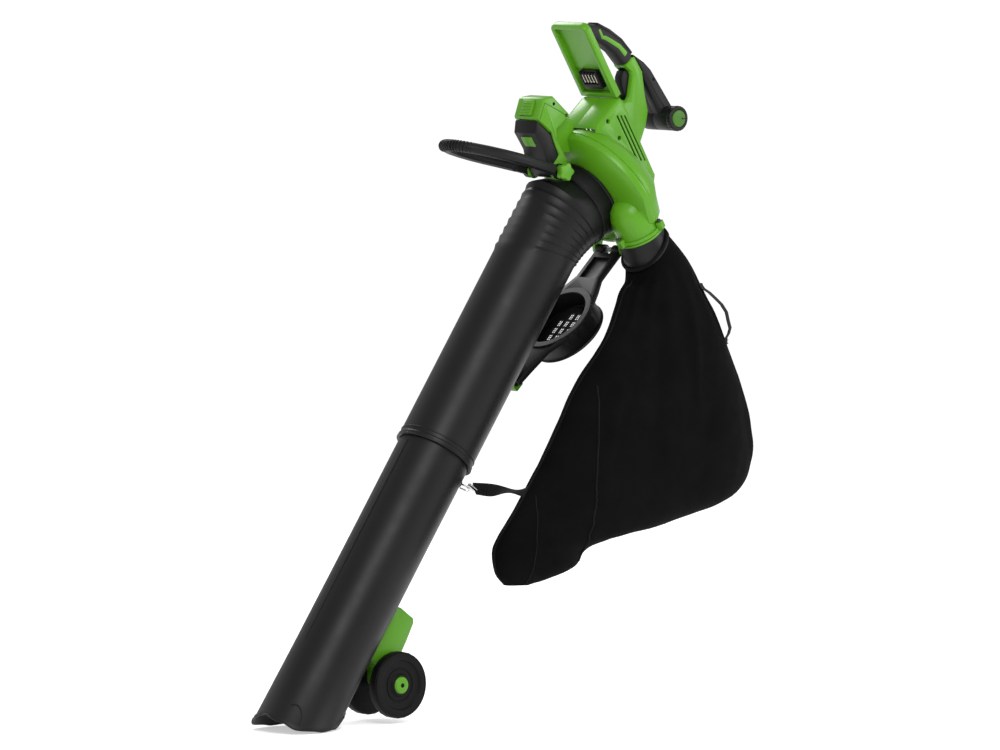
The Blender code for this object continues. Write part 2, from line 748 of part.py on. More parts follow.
def section(height, width, power=2.6, count=20):
    """A rounded section: pairs of (in the side view's plane, across)."""
    made = []
    for i in range(count):
        t = math.tau * i / count
        c, s = math.cos(t), math.sin(t)
        made.append((height * math.copysign(abs(c) ** (2 / power), c), width * math.copysign(abs(s) ** (2 / power), s)))
    return made


def grip_solid(name, grow=0.0, spec=None):
    line = [Vector(point) for point in GRIP_LINE]
    line.insert(0, line[0] + (line[0] - line[1]).normalized() * 0.030)
    rows = []
    for i, here in enumerate(line):
        before, after = line[max(0, i - 1)], line[min(len(line) - 1, i + 1)]
        along = (after - before).normalized()
        if i == len(line) - 1:
            along = (here - line[i - 1]).normalized()
        across = Vector((-along.y, along.x))
        rows.append([
            (here.x + across.x * h, -w, here.y + across.y * h)
            for h, w in section(GRIP_HALF_HEIGHT + grow, GRIP_HALF_WIDTH + grow)
        ])
    return loft(name, rows, Matrix(), spec)


def make_grip():
    behind_tray = TRAY_FRONT - TRAY_DEPTH - GAP
    for name, near in (("grip_left", False), ("grip_right", True)):
        piece = grip_solid(name, 0.0, SOFT_GRIP)
        cut(piece, block(name + "_trim", (-1, -1, behind_tray), (1, 1, 1), FAN))
        half(piece, near)
        smooth(piece)
    line = [Vector(point) for point in GRIP_LINE]
    low, high = [], []
    for i in range(1, len(line)):
        before, after = line[i - 1], line[min(len(line) - 1, i + 1)]
        along = (after - before).normalized()
        across = Vector((-along.y, along.x))
        low.append(tuple(line[i] + across * 0.009))
        high.append(tuple(line[i] + across * (GRIP_HALF_HEIGHT + 0.0025)))
    spine = plate("handle_spine", [*low, *reversed(high)], -0.011, 0.011, SIDE, BLACK, bevel=0.001)
    cut(spine, grip_solid("spine_seat", GAP))
    smooth(spine)


# Rear arm in the side view
ARM_OUTLINE = (
    (0.0580, -0.0290), (0.0720, -0.0410), (0.1180, -0.1020), (0.0900, -0.1120), (0.0560, -0.0530), (0.0480, -0.0400),
)


def make_arm():
    outline = [grip_end(1, GAP), *ARM_OUTLINE]
    arm = plate("arm", outline, -ARM_HALF_WIDTH, ARM_HALF_WIDTH, SIDE, bevel=0.004)
    cut(arm, plate("arm_to_leg", inset(leg_outline(), -GAP), -0.03, 0.03), grip_solid("arm_to_grip", GAP))
    barrel_frame = at(BARREL_X, BARREL_Z)
    join(arm, rod("barrel", BARREL_R, -BARREL_HALF_LENGTH, BARREL_HALF_LENGTH, barrel_frame, sides=28))
    cut(arm, rod("dial_bore", DIAL_STUB_R + GAP, BARREL_HALF_LENGTH - 0.020, 0.05, barrel_frame))
    whole = applied(arm)
    for name, near in (("rear_arm_left", False), ("rear_arm_right", True)):
        piece = add(name, whole.data.copy(), whole.matrix_world, BLACK)
        half(piece, near)
        smooth(piece)
    bpy.data.objects.remove(whole, do_unlink=True)
    face = BARREL_HALF_LENGTH + GAP
    low = BARREL_HALF_LENGTH - 0.014
    turned(
        "speed_dial",
        [(0, low), (DIAL_STUB_R, low), (DIAL_STUB_R, face), (BARREL_R, face), (BARREL_R, face + DIAL_DEPTH - 0.001),
         (BARREL_R - 0.001, face + DIAL_DEPTH), (DIAL_FACE_R + 0.001, face + DIAL_DEPTH),
         (DIAL_FACE_R + 0.001, face + DIAL_DEPTH - 0.002), (0, face + DIAL_DEPTH - 0.002)],
        barrel_frame, BLACK, 28,
    )
    seat = face + DIAL_DEPTH - 0.002 + GAP
    turned("dial_cap", [(0, seat), (DIAL_FACE_R, seat), (DIAL_FACE_R, seat + 0.002), (DIAL_FACE_R - 0.0008, seat + 0.003),
                        (0, seat + 0.003)], barrel_frame, GREEN, 24)
    rod("speed_sensor", DIAL_STUB_R - 0.0005, BARREL_HALF_LENGTH - 0.0195, low - GAP, barrel_frame, BOARD, 16)


# Nose in the side view: top, front and the front of the arm down to the pivot, then the hollow back
NOSE_OUTLINE = (
    (-0.1040, -0.1030), (-0.1380, -0.0745), (-0.1590, -0.0770), (-0.1700, -0.1080), (-0.1420, -0.1290), (-0.1360, -0.1450),
    (-0.1260, -0.1640),
)
NOSE_BACK = ((-0.1080, -0.1720), (-0.1190, -0.1560), (-0.1300, -0.1390), (-0.1300, -0.1250), (-0.1080, -0.1070))
# Web from the nose back to the scroll
WEB_OUTLINE = (
    (-0.1330, -0.1210), (-0.1100, -0.1055), (-0.0840, -0.1130), (-0.0840, -0.1600), (-0.1150, -0.1620),
    (-0.1190, -0.1560), (-0.1295, -0.1395), (-0.1295, -0.1260),
)
WEB_HALF_WIDTH = 0.012
BRACKET_OUTLINE = (
    (-0.1480, -0.1790), (-0.1540, -0.1560), (-0.1720, -0.1300), (-0.1695, -0.1097), (-0.1395, -0.1322),
    (-0.1330, -0.1350), (-0.1270, -0.1480), (-0.1130, -0.1710),
)


def button_frame():
    """On the middle of the nose's front face, local Z outwards."""
    top, low = Vector(NOSE_OUTLINE[2]), Vector(NOSE_OUTLINE[3])
    along = (low - top).normalized()
    middle = (top + low) / 2
    return Matrix((
        (along.x, 0, along.y, middle.x), (0, -1, 0, 0), (along.y, 0, -along.x, middle.y), (0, 0, 0, 1),
    ))


def make_nose():
    pivot = arc(LOOP_X, LOOP_Z, 0.0135, 150, 350, 8)
    outline = [*NOSE_OUTLINE, *pivot, *NOSE_BACK]
    shell = plate("nose_shell", outline, -NOSE_HALF_WIDTH, NOSE_HALF_WIDTH, SIDE, GREEN, bevel=0.004)
    room = inset([*NOSE_OUTLINE[:5], *NOSE_BACK[3:]], NOSE_WALL)
    low_cut = [(-0.2100, -0.1290), (-0.1288, -0.1290), (-0.1288, -0.1400), (-0.1180, -0.1565), (-0.1065, -0.1733),
               (-0.1065, -0.2200), (-0.2100, -0.2200)]
    join(shell, plate("nose_web", WEB_OUTLINE, -WEB_HALF_WIDTH, WEB_HALF_WIDTH))
    inner = NOSE_HALF_WIDTH - NOSE_WALL
    cut(shell, scroll_solid("nose_to_scroll", GAP), plate("nose_room", room, -inner, inner),
        plate("nose_mouth", low_cut, -inner, inner))
    face = button_frame()
    cut(shell, block("button_hole", (-0.0125, -0.0135, -0.012), (0.0125, 0.0135, 0.01), face),
        rod("pivot_hole", PIVOT_R + GAP, -0.04, 0.04, at(LOOP_X, LOOP_Z)))
    smooth(shell)
    button = block("release_button", (-0.012, -0.013, -0.005), (0.012, 0.013, 0.004), face, GREEN, bevel=0.0015)
    join(button, rod("button_stem", 0.003, -0.016, -0.003, face, sides=16))
    smooth(button)
    block("latch_bolt", (-0.008, -0.010, -0.0245), (0.008, 0.010, -0.0165), face, BLACK, bevel=0.0008)
    helix("button_spring", 0.0046, 0.0005, -0.0158, -0.0056, 4, face, STEEL)
    bracket_line = [*BRACKET_OUTLINE, *arc(LOOP_X, LOOP_Z, 0.0100, 20, -160, 7)]
    bracket = plate("tube_bracket", bracket_line, -BRACKET_HALF_WIDTH, BRACKET_HALF_WIDTH, SIDE, BLACK, bevel=0.003)
    cut(bracket, rod("bracket_bore", PIVOT_R + GAP, -0.04, 0.04, at(LOOP_X, LOOP_Z)),
        scroll_solid("bracket_to_scroll", 0.001))
    smooth(bracket)


def loop_frame():
    return side_frame(LOOP_X, LOOP_Z, -LOOP_RISE)


def make_loop():
    frame = loop_frame()
    eye_low = NOSE_HALF_WIDTH + GAP
    eye_high = eye_low + LOOP_EYE_WIDTH
    bar = [(0, 0.0405, 0.022), (0, 0.046, 0.050), (0, 0.053, 0.080)]
    bend = [(0, LOOP_HALF_WIDTH * math.cos(math.pi * k / 10), 0.105 + (LOOP_LENGTH - 0.105) * math.sin(math.pi * k / 10))
            for k in range(11)]
    line = [*bar, *bend, *[(x, -y, z) for x, y, z in reversed(bar)]]
    handle = swept("loop_handle", line, LOOP_BAR_R, frame, BLACK)
    pieces = []
    for side in (1, -1):
        low, high = sorted((side * eye_low, side * eye_high))
        pieces.append(rod(f"loop_eye_{side}", LOOP_EYE_R, low, high, frame @ ALONG_Y, sides=28))
        pieces.append(block(f"loop_arm_{side}", (-0.0085, low, 0.0), (0.0085, high, 0.030), frame))
    join(handle, *pieces)
    cut(handle, rod("loop_bore", PIVOT_R + GAP, -0.06, 0.06, frame @ ALONG_Y))
    smooth(handle)
    axis = at(LOOP_X, LOOP_Z)
    knob_low = eye_high + GAP
    star = []
    for k in range(20):
        t = math.tau * k / 20
        r = KNOB_R * (0.86 + 0.14 * math.cos(5 * t))
        star.append((r * math.cos(t), r * math.sin(t)))
    knob = plate("star_knob", star, knob_low, knob_low + KNOB_DEPTH, axis, GREEN, bevel=0.0012, segments=1)
    cut(knob, rod("knob_bore", PIVOT_R + GAP, 0, knob_low + KNOB_DEPTH - 0.003, axis))
    smooth(knob)
    turned("pivot_bolt", [(0, -eye_high - 0.005), (0.0075, -eye_high - 0.005), (0.0075, -eye_high - GAP),
                          (PIVOT_R, -eye_high - GAP), (PIVOT_R, knob_low + KNOB_DEPTH - 0.0035),
                          (0, knob_low + KNOB_DEPTH - 0.0035)], axis, STEEL, 24)


def pipe(name, outer, inner, frame=Matrix(), spec=None):
    """An open pipe as one closed skin: outer rows one way, inner rows back."""
    rows = [*outer, *reversed(inner)]
    bm = bmesh.new()
    made = [[bm.verts.new(point) for point in row] for row in rows]
    count = len(rows[0])
    for k, a in enumerate(made):
        b = made[(k + 1) % len(made)]
        for i in range(count):
            j = (i + 1) % count
            bm.faces.new((a[i], a[j], b[j], b[i]))
    bmesh.ops.recalc_face_normals(bm, faces=bm.faces)
    mesh = bpy.data.meshes.new(name)
    bm.to_mesh(mesh)
    bm.free()
    return smooth(add(name, mesh, frame, spec), 50)


# How far the mouth's edge stands past its slanted plane, by angle from the back of the tube
MOUTH_EDGE = ((0, -0.0300), (38, -0.0270), (60, -0.0040), (90, 0.0050), (122, 0.0090), (150, 0.0000), (180, -0.0080))


def mouth_edge(turn):
    angle = math.degrees(math.acos(math.cos(turn)))
    for (a, low), (b, high) in zip(MOUTH_EDGE, MOUTH_EDGE[1:]):
        if angle <= b:
            part = (angle - a) / (b - a)
            return low + (high - low) * part * part * (3 - 2 * part)
    return MOUTH_EDGE[-1][1]


def oblique_row(radius, z, lean=0.0, wave=0.0, segments=TUBE_SEGMENTS):
    """A ring of the tube; lean is how far its plane falls towards the front, wave how much of the mouth's edge it has."""
    made = []
    for i in range(segments):
        t = math.tau * i / segments
        x = radius * math.cos(t)
        made.append((x, radius * math.sin(t), z - lean * x + wave * mouth_edge(t)))
    return made


COLLAR_TOP = 0.047
RIB_LAST_FRONT = 0.0626
RIB_LAST_BACK = 0.0194


def elbow_row(radius, part, bump=0.0):
    """A ring of the bend: part 0 at the collar, 1 at the last rib. In front the straight tube runs on to a shoulder."""
    into = TUBE.inverted() @ FAN
    ahead = into.to_3x3() @ Vector((0, 0, 1))
    ends = []
    for side, last in ((1, RIB_LAST_BACK), (-1, RIB_LAST_FRONT)):
        start = into @ Vector((side * radius, 0, COLLAR_TOP + GAP))
        bend = start + ahead * ((side * radius - start.x) / ahead.x)
        end = Vector((side * radius, 0, last))
        if side < 0 and part > 0:
            ends.append(Vector((-radius, 0, SHOULDER + (RIB_LAST_FRONT - SHOULDER) * part)))
        else:
            ends.append(start * (1 - part) ** 2 + bend * 2 * part * (1 - part) + end * part**2)
    middle, reach = (ends[0] + ends[1]) / 2, (ends[0] - ends[1]) / 2
    made = []
    for i in range(TUBE_SEGMENTS):
        t = math.tau * i / TUBE_SEGMENTS
        point = middle + reach * (math.cos(t) * (1 + bump / radius))
        made.append((point.x, (radius + bump) * math.sin(t), point.z))
    return made


def make_tubes():
    collar = ring("intake_collar", TUBE_R - TUBE_WALL, TUBE_R + 0.0015, EYE_FACE + GAP, COLLAR_TOP, FAN, BLACK, 36)
    cut(collar, outlet_horn("collar_to_outlet", OUTLET_R + GAP, OUTLET_TOP - GAP, OUTLET_END))
    inner_r = TUBE_R - TUBE_WALL
    outer = []
    for k in range(RIBS):
        outer.append(elbow_row(TUBE_R, k / RIBS))
        outer.append(elbow_row(TUBE_R, (k + 0.35) / RIBS, RIB_HEIGHT))
    outer.append(elbow_row(TUBE_R, 1.0))
    lip = TUBE_JOINT - 0.006
    outer += [oblique_row(TUBE_R, 0.110), oblique_row(TUBE_R, lip - 0.002), oblique_row(TUBE_R + 0.0015, lip),
              oblique_row(TUBE_R + 0.0015, TUBE_JOINT)]
    inner = [elbow_row(inner_r, part) for part in (0, 0.08, 0.25, 0.5, 0.75, 1)]
    inner += [oblique_row(inner_r, 0.110), oblique_row(inner_r, TUBE_JOINT)]
    pipe("upper_tube", outer, inner, TUBE, BLACK)
    lean = math.tan(NOZZLE_CUT)
    top, flare = TUBE_JOINT - LOWER_INSERT, NOZZLE_END - NOZZLE_FLARE
    outer = [oblique_row(LOWER_R, top), oblique_row(LOWER_R, 0.560), oblique_row(LOWER_R + 0.0005, flare),
             oblique_row(NOZZLE_R - 0.0015, NOZZLE_END - 0.009, lean, 1), oblique_row(NOZZLE_R, NOZZLE_END - 0.006, lean, 1),
             oblique_row(NOZZLE_R, NOZZLE_END, lean, 1)]
    inner = [oblique_row(LOWER_R - TUBE_WALL, top), oblique_row(LOWER_R - TUBE_WALL, 0.560),
             oblique_row(LOWER_R - TUBE_WALL + 0.0005, flare),
             oblique_row(NOZZLE_R - TUBE_WALL - 0.0015, NOZZLE_END - 0.009, lean, 1),
             oblique_row(NOZZLE_R - TUBE_WALL, NOZZLE_END, lean, 1)]
    pipe("lower_tube", outer, inner, TUBE, BLACK)


# Carriage in the tube's frame, as (behind the tube's axis, past the wheels' axis)
CARRIAGE_OUTLINE = (
    (0.0450, -0.1000), (0.0660, -0.1050), (0.0935, -0.1045), (0.0985, -0.0985), (0.1020, -0.0700), (0.1045, -0.0320),
    (0.1200, -0.0100),
    (0.1215, 0.0000), (0.1190, 0.0090), (0.1110, 0.0115), (0.0960, 0.0080), (0.0840, -0.0100), (0.0450, -0.0100),
)


def make_carriage():
    outline = outline_in(TUBE, [(back, WHEEL_ALONG + past) for back, past in CARRIAGE_OUTLINE])
    carriage = plate("wheel_carriage", outline, -CARRIAGE_HALF_WIDTH, CARRIAGE_HALF_WIDTH, SIDE, GREEN, bevel=0.004)
    cut(carriage, rod("carriage_to_tube", LOWER_R + 0.0005 + 2 * GAP, WHEEL_ALONG - 0.2, WHEEL_ALONG + 0.1, TUBE, sides=72),
        block("carriage_channel", (0.0640, -0.0140, WHEEL_ALONG - 0.0920), (0.0920, 0.0140, WHEEL_ALONG - 0.0370), TUBE),
        block("carriage_hole", (0.0800, -0.0070, WHEEL_ALONG - 0.0950), (0.1100, 0.0070, WHEEL_ALONG - 0.0840), TUBE),
        rod("axle_hole", AXLE_R + GAP, -0.04, 0.04, moved(TUBE, WHEEL_BACK, 0, WHEEL_ALONG) @ ALONG_Y))
    smooth(carriage)
    axis = moved(TUBE, WHEEL_BACK, 0, WHEEL_ALONG) @ ALONG_Y
    inner, outer = WHEEL_NEAR - WHEEL_WIDTH / 2, WHEEL_NEAR + WHEEL_WIDTH / 2
    rod("wheel_axle", AXLE_R, -outer + 0.004, outer - 0.004, axis, STEEL, 24)
    for name, side in (("right", 1), ("left", -1)):
        bore = AXLE_R + GAP
        r = WHEEL_R
        profile = [
            (bore, inner), (r - 0.003, inner), (r, inner + 0.003), (r, outer - 0.003), (r - 0.003, outer),
            (r - 0.012, outer), (r - 0.014, outer - 0.003), (0.018, outer - 0.003), (0.016, outer),
            (HUB_CAP_R + GAP, outer), (HUB_CAP_R + GAP, outer - 0.003), (bore, outer - 0.003),
        ]
        frame = axis if side > 0 else axis @ Matrix.Rotation(math.pi, 4, "X")
        turned(f"wheel_{name}", profile, frame, RUBBER, 24, closed=True)
        low = outer - 0.003 + GAP
        turned(f"hub_cap_{name}", [(0, low), (HUB_CAP_R, low), (HUB_CAP_R, low + 0.003), (HUB_CAP_R - 0.002, low + 0.0055),
                                   (0, low + 0.0055)], frame, GREEN, 20)


# Local Z leaves the cover's outer face, local Y runs from the hinge to the tip, local X to the near side
COVER_FACE = COVER @ Matrix(((0, 0, 1, 0), (1, 0, 0, 0), (0, 1, 0, 0), (0, 0, 0, 1)))


def make_cover():
    right = [(0.0262, 0.004), (0.0262, 0.060), (0.0380, 0.085)]
    right += [(math.cos(math.radians(t)) * COVER_RING_R, COVER_RING_AT + math.sin(math.radians(t)) * COVER_RING_R)
              for t in (-38, -19, 0, 19, 38)]
    right += [(0.0270, COVER_RING_AT + COVER_RING_R + 0.003), (0.0190, COVER_LENGTH - 0.027), (0.0150, COVER_LENGTH)]
    outline = [*right, *[(-x, y) for x, y in reversed(right)]]
    low, high = COVER_FRONT, COVER_FRONT + COVER_THICK
    frame = plate("cover_frame", outline, low, high, COVER_FACE, BLACK, bevel=0.0015)
    axis = COVER @ ALONG_Y
    wall = ring("cover_ring", COVER_BORE_R - 0.001, COVER_RING_R - 0.0004, low + 0.0007, COVER_RING_DEPTH,
                moved(COVER, 0, 0, COVER_RING_AT) @ ALONG_X, sides=36)
    knuckles = [rod(f"knuckle_{i}", HINGE_EYE_R, a, b, axis, sides=18)
                for i, (a, b) in enumerate(((-KNUCKLE_HALF, -0.009), (0.009, KNUCKLE_HALF)))]
    join(frame, wall, *knuckles)
    cut(frame, block("spring_room", (-0.009, -0.0098, -0.010), (0.009, 0.0098, 0.011), COVER),
        rod("pin_bore", HINGE_PIN_R + GAP, -0.05, 0.05, axis),
        rod("cover_bore", COVER_BORE_R, low - 0.01, COVER_RING_DEPTH + 0.01,
            moved(COVER, 0, 0, COVER_RING_AT) @ ALONG_X, sides=34),
        block("arm_recess", (low - 0.01, -0.0180, 0.020), (low + 0.004, 0.0180, 0.062), COVER),
        block("latch_pocket", (-0.0015, -0.0064, COVER_LENGTH - 0.0245), (0.0035, 0.0064, COVER_LENGTH + 0.01), COVER))
    smooth(frame)
    rod("cover_hinge_pin", HINGE_PIN_R, -KNUCKLE_HALF - LUG_THICK, KNUCKLE_HALF + LUG_THICK, axis, STEEL, 16)
    helix("cover_spring", 0.0040, 0.0005, -0.0075, 0.0075, 6, axis, STEEL)
    holes = []
    reach = int(COVER_BORE_R / GRILLE_PITCH) + 1
    for i in range(-reach, reach + 1):
        for k in range(-reach, reach + 1):
            x, y = i * GRILLE_PITCH, k * GRILLE_PITCH
            h = (GRILLE_PITCH - GRILLE_BAR) / 2
            if math.hypot(abs(x) + h, abs(y) + h) < COVER_BORE_R - 0.0025:
                holes.append([(x - h, y - h), (x + h, y - h), (x + h, y + h), (x - h, y + h)])
    back = COVER_RING_DEPTH - 0.002
    plate("cover_grille", circle(0, 0, (COVER_BORE_R - 2 * GAP) * 0.995, 32), back - GRILLE_THICK, back,
          COVER_FACE @ Matrix.Translation((0, COVER_RING_AT, 0)), BLACK, holes=holes)
    behind = high + 2 * GAP
    latch = block("cover_latch", (-0.0012, -0.0085, COVER_LENGTH + 0.0035), (behind + 0.0060, 0.0085, COVER_LENGTH + 0.0065),
                  COVER, GREEN, bevel=0.001)
    join(latch, block("latch_head", (behind, -0.0080, COVER_LENGTH - 0.0095), (behind + 0.0058, 0.0080, COVER_LENGTH + 0.0050),
                      COVER),
         block("latch_tongue", (-0.0012, -0.0060, COVER_LENGTH - 0.0170), (0.0032, 0.0060, COVER_LENGTH + 0.005), COVER))
    smooth(latch)


def neck_frame(part):
    """Frames down the neck: part 0 at the outlet's end, 1 where the straight rim starts."""
    start = outlet_frame() @ Vector((0, 0, OUTLET_END + FLANGE_DEPTH + 3 * GAP))
    tilt_start, tilt_end = math.pi - (math.pi / 2 - FAN_PITCH), math.pi / 2 + NECK_END_TILT
    ahead = Vector((-math.cos(tilt_end), 0, -math.sin(tilt_end)))
    end = Vector((NECK_END_X, start.y, NECK_END_Z)) - ahead * COLLAR_DEPTH
    bend = start + Vector((math.sin(FAN_PITCH), 0, -math.cos(FAN_PITCH))) * (end - start).length * 0.5
    centre = start * (1 - part) ** 2 + bend * 2 * part * (1 - part) + end * part**2
    made = side_frame(centre.x, centre.z, tilt_start + (tilt_end - tilt_start) * part)
    made[1][3] = start.y
    return made


def rim_frame():
    return moved(neck_frame(1), z=COLLAR_DEPTH)


def ring_row(frame, radius, z=0.0, count=24):
    return [tuple(frame @ Vector((radius * math.cos(math.tau * i / count), radius * math.sin(math.tau * i / count), z)))
            for i in range(count)]


def make_neck():
    ring("outlet_flange", OUTLET_BORE_R, OUTLET_R + 0.0015, OUTLET_END + GAP, OUTLET_END + FLANGE_DEPTH,
         outlet_frame(), GREEN, 36)
    spigot = OUTLET_BORE_R - GAP
    start = neck_frame(0)
    outer = [ring_row(start, spigot, -NECK_SPIGOT), ring_row(start, spigot, 0)]
    inner = [ring_row(start, spigot - NECK_WALL, -NECK_SPIGOT), ring_row(start, spigot - NECK_WALL, 0)]
    steps = 3
    for k in range(steps + 1):
        part = k / steps
        radius = NECK_R + (NECK_END_R - NECK_R) * part
        outer.append(ring_row(neck_frame(part), radius))
        if k:
            inner.append(ring_row(neck_frame(part), radius - NECK_WALL))
    outer.append(ring_row(rim_frame(), NECK_END_R))
    inner.append(ring_row(rim_frame(), NECK_END_R - NECK_WALL))
    pipe("bag_neck", outer, inner, Matrix(), BLACK)
    ring("bag_collar", NECK_END_R + GAP, NECK_END_R + 0.0035, -COLLAR_DEPTH + GAP, -GAP, rim_frame(), BLACK, 32)


# Bag sections: height, middle in x, half length along x, half thickness, middle in y
BAG_SECTIONS = (
    (-0.370, 0.0185, 0.0755, 0.036, -0.096), (-0.429, 0.008, 0.110, 0.043, -0.114), (-0.504, -0.007, 0.159, 0.048, -0.116),
    (-0.579, -0.020, 0.197, 0.050, -0.116), (-0.638, -0.036, 0.220, 0.050, -0.115), (-0.689, -0.075, 0.218, 0.046, -0.115),
    (-0.722, -0.156, 0.165, 0.038, -0.115), (-0.745, -0.237, 0.095, 0.032, -0.115), (-0.777, -0.254, 0.073, 0.026, -0.115),
    (-0.796, -0.289, 0.020, 0.014, -0.115),
)


def hook_frame():
    """The middle of the hook's ring, whose wire rests on the back of the eye's hole."""
    return moved(TUBE, EYE_HOLE_BACK + EYE_HOLE_R - HOOK_WIRE_R - GAP + HOOK_R, 0, EYE_HOLE_ALONG)


def bag_edge(z, side):
    """x of the bag's edge at a height, and the middle in y there."""
    for upper, lower in zip(BAG_SECTIONS, BAG_SECTIONS[1:]):
        if lower[0] <= z <= upper[0]:
            t = (z - upper[0]) / (lower[0] - upper[0])
            mix = [a + (b - a) * t for a, b in zip(upper, lower)]
            return mix[1] + side * mix[2], mix[4]
    return 0.0, 0.0


def strip(name, line, wide, thick, spec):
    """A webbing strip: a list of (point, width direction, thickness direction)."""
    rows = []
    for point, across, out in line:
        p, a, o = Vector(point), Vector(across).normalized() * wide / 2, Vector(out).normalized() * thick / 2
        rows.append([tuple(p + a + o), tuple(p - a + o), tuple(p - a - o), tuple(p + a - o)])
    return loft(name, rows, Matrix(), spec)


def make_bag():
    mouth = rim_frame()
    rows = [ring_row(mouth, NECK_END_R + 0.003, GAP, 24)]
    lean = math.radians(20)
    rows.append([
        (0.018 + a * math.cos(lean), -0.086 - b, -0.341 + a * math.sin(lean)) for a, b in section(0.056, 0.040, 2.1, 24)
    ])
    for z, x, length, thickness, y in BAG_SECTIONS:
        rows.append([(x + a, y - b, z) for a, b in section(length, thickness, 2.3, 24)])
    loft("bag", rows, Matrix(), FABRIC)
    line = []
    for z, out in ((-0.372, 0.0016), (-0.384, 0.009), (-0.402, 0.012), (-0.421, 0.010), (-0.438, 0.0016)):
        x, y = bag_edge(z, 1)
        line.append(((x + out, y, z), (0, 1, 0), (1, 0, 0.5)))
    strip("bag_handle", line, 0.020, 0.0015, WEBBING)
    upper, middle, lower = (bag_edge(z, -1)[0] for z in (-0.645, -0.655, -0.665))
    edge = Vector((upper - lower, 0, 0.020)).normalized()
    hook_end = hook_frame() @ Vector((0, HOOK_BAR_Y + 0.0006, 0))
    end = Vector((middle - 0.0018, bag_edge(-0.655, -1)[1], -0.655))
    line = []
    for t in (0.0, 0.35, 0.7, 1.0):
        across = Vector((0, 0, 1)).lerp(edge, t)
        line.append((hook_end + (end - hook_end) * t, across, across.cross(end - hook_end)))
    strip("bag_strap", line, 0.020, 0.0016, WEBBING)


def make_hook():
    hole = (EYE_HOLE_BACK, EYE_HOLE_ALONG)
    outline = [(LOWER_R + GAP, 0.3905), (0.0665, 0.3915), (0.0715, 0.3950), (0.0720, 0.4000), (0.0700, 0.4045),
               (LOWER_R + GAP, 0.4120)]
    plate("tube_eye", outline_in(TUBE, outline), -0.0025, 0.0025, SIDE, BLACK,
          holes=[outline_in(TUBE, circle(hole[0], hole[1], EYE_HOLE_R, 16))], bevel=0.0004)
    radius, wire, frame = HOOK_R, HOOK_WIRE_R, hook_frame()

    def on_ring(low, high, steps):
        return [(x, y, 0) for x, y in arc(0, 0, radius, low, high, steps)]

    hook = swept("snap_hook", on_ring(-8, 274, 26), wire, frame, STEEL)
    stem = rod("stem", 0.0024, radius, 0.0225, frame @ ALONG_Y, sides=16)
    bar = block("bar", (-0.0110, HOOK_BAR_Y - 0.0035, -0.0022), (0.0110, HOOK_BAR_Y, 0.0022), frame)
    join(hook, stem, bar)
    smooth(hook)
    pivot, free = (Vector(on_ring(angle, angle, 1)[0]) for angle in (-77, -17))
    swept("hook_gate", [tuple(pivot.lerp(free, part)) for part in (0, 0.5, 1)], wire * 0.85, frame, STEEL)


make_scroll()
make_impeller()
make_motor()
make_casing()
make_trigger()
make_tray()
make_grip()
make_arm()
make_nose()
make_loop()
make_tubes()
make_carriage()
make_cover()
make_neck()
make_bag()
make_hook()
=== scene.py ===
import json
import math

import bmesh
import bpy
from mathutils import Matrix, Vector, noise
from mathutils.bvhtree import BVHTree


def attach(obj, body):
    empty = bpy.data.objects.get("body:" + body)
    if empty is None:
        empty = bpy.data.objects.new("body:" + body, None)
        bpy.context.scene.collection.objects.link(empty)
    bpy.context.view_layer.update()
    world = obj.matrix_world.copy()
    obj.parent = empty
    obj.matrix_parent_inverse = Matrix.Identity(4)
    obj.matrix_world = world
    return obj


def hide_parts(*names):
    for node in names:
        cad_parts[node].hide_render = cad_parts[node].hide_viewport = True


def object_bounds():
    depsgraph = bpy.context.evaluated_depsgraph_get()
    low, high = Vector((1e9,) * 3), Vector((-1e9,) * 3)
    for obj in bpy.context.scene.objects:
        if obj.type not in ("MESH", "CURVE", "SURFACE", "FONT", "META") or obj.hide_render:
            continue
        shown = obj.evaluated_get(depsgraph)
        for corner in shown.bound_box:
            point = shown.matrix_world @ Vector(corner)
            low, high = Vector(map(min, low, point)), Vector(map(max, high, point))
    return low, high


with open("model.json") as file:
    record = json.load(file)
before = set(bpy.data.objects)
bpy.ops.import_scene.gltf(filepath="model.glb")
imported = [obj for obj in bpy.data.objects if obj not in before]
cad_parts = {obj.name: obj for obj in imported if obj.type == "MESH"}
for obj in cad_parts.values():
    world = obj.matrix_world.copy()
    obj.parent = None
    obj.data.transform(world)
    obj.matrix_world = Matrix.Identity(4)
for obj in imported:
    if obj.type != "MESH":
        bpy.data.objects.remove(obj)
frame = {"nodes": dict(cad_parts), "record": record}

CAD_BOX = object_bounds()
NODES = frame["nodes"]

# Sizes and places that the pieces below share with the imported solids, in metres

FAN_X, FAN_Z = -0.035, -0.225
FAN_PITCH = math.radians(31)
SCROLL_START_R = 0.088
SCROLL_END_R = 0.124
SCROLL_GROWTH = 1.9
SCROLL_SEAM = -0.0045
SCROLL_FROM = 22
SCROLL_TURN = 292
EYE_FACE = 0.015
OUTLET_NEAR = 0.075
OUTLET_AHEAD = 0.006
TRAY_FLOOR = -0.092
BARREL_X, BARREL_Z = 0.107, -0.116

ELBOW_X, ELBOW_Z = -0.129, -0.286
TUBE_PITCH = math.radians(55)
TUBE_R = 0.0600
TUBE_JOINT = 0.389
LOWER_R = 0.0567
NOZZLE_R = 0.0600
NOZZLE_END = 0.862
NOZZLE_CUT = math.radians(22)

WHEEL_ALONG = NOZZLE_END - 0.140
WHEEL_BACK = 0.111
WHEEL_R = 0.050
WHEEL_FACE = 0.043

HINGE_X, HINGE_Z = 0.0015, -0.313
COVER_TIP_CLEAR = 0.0099
COVER_LENGTH = 0.276
COVER_RING_AT = 0.146

LOOP_X, LOOP_Z = -0.130, -0.188
LOOP_RISE = math.radians(13.5)
LOOP_LENGTH = 0.194
LOOP_BOW = 0.089
LOOP_HALF_WIDTH = 0.055

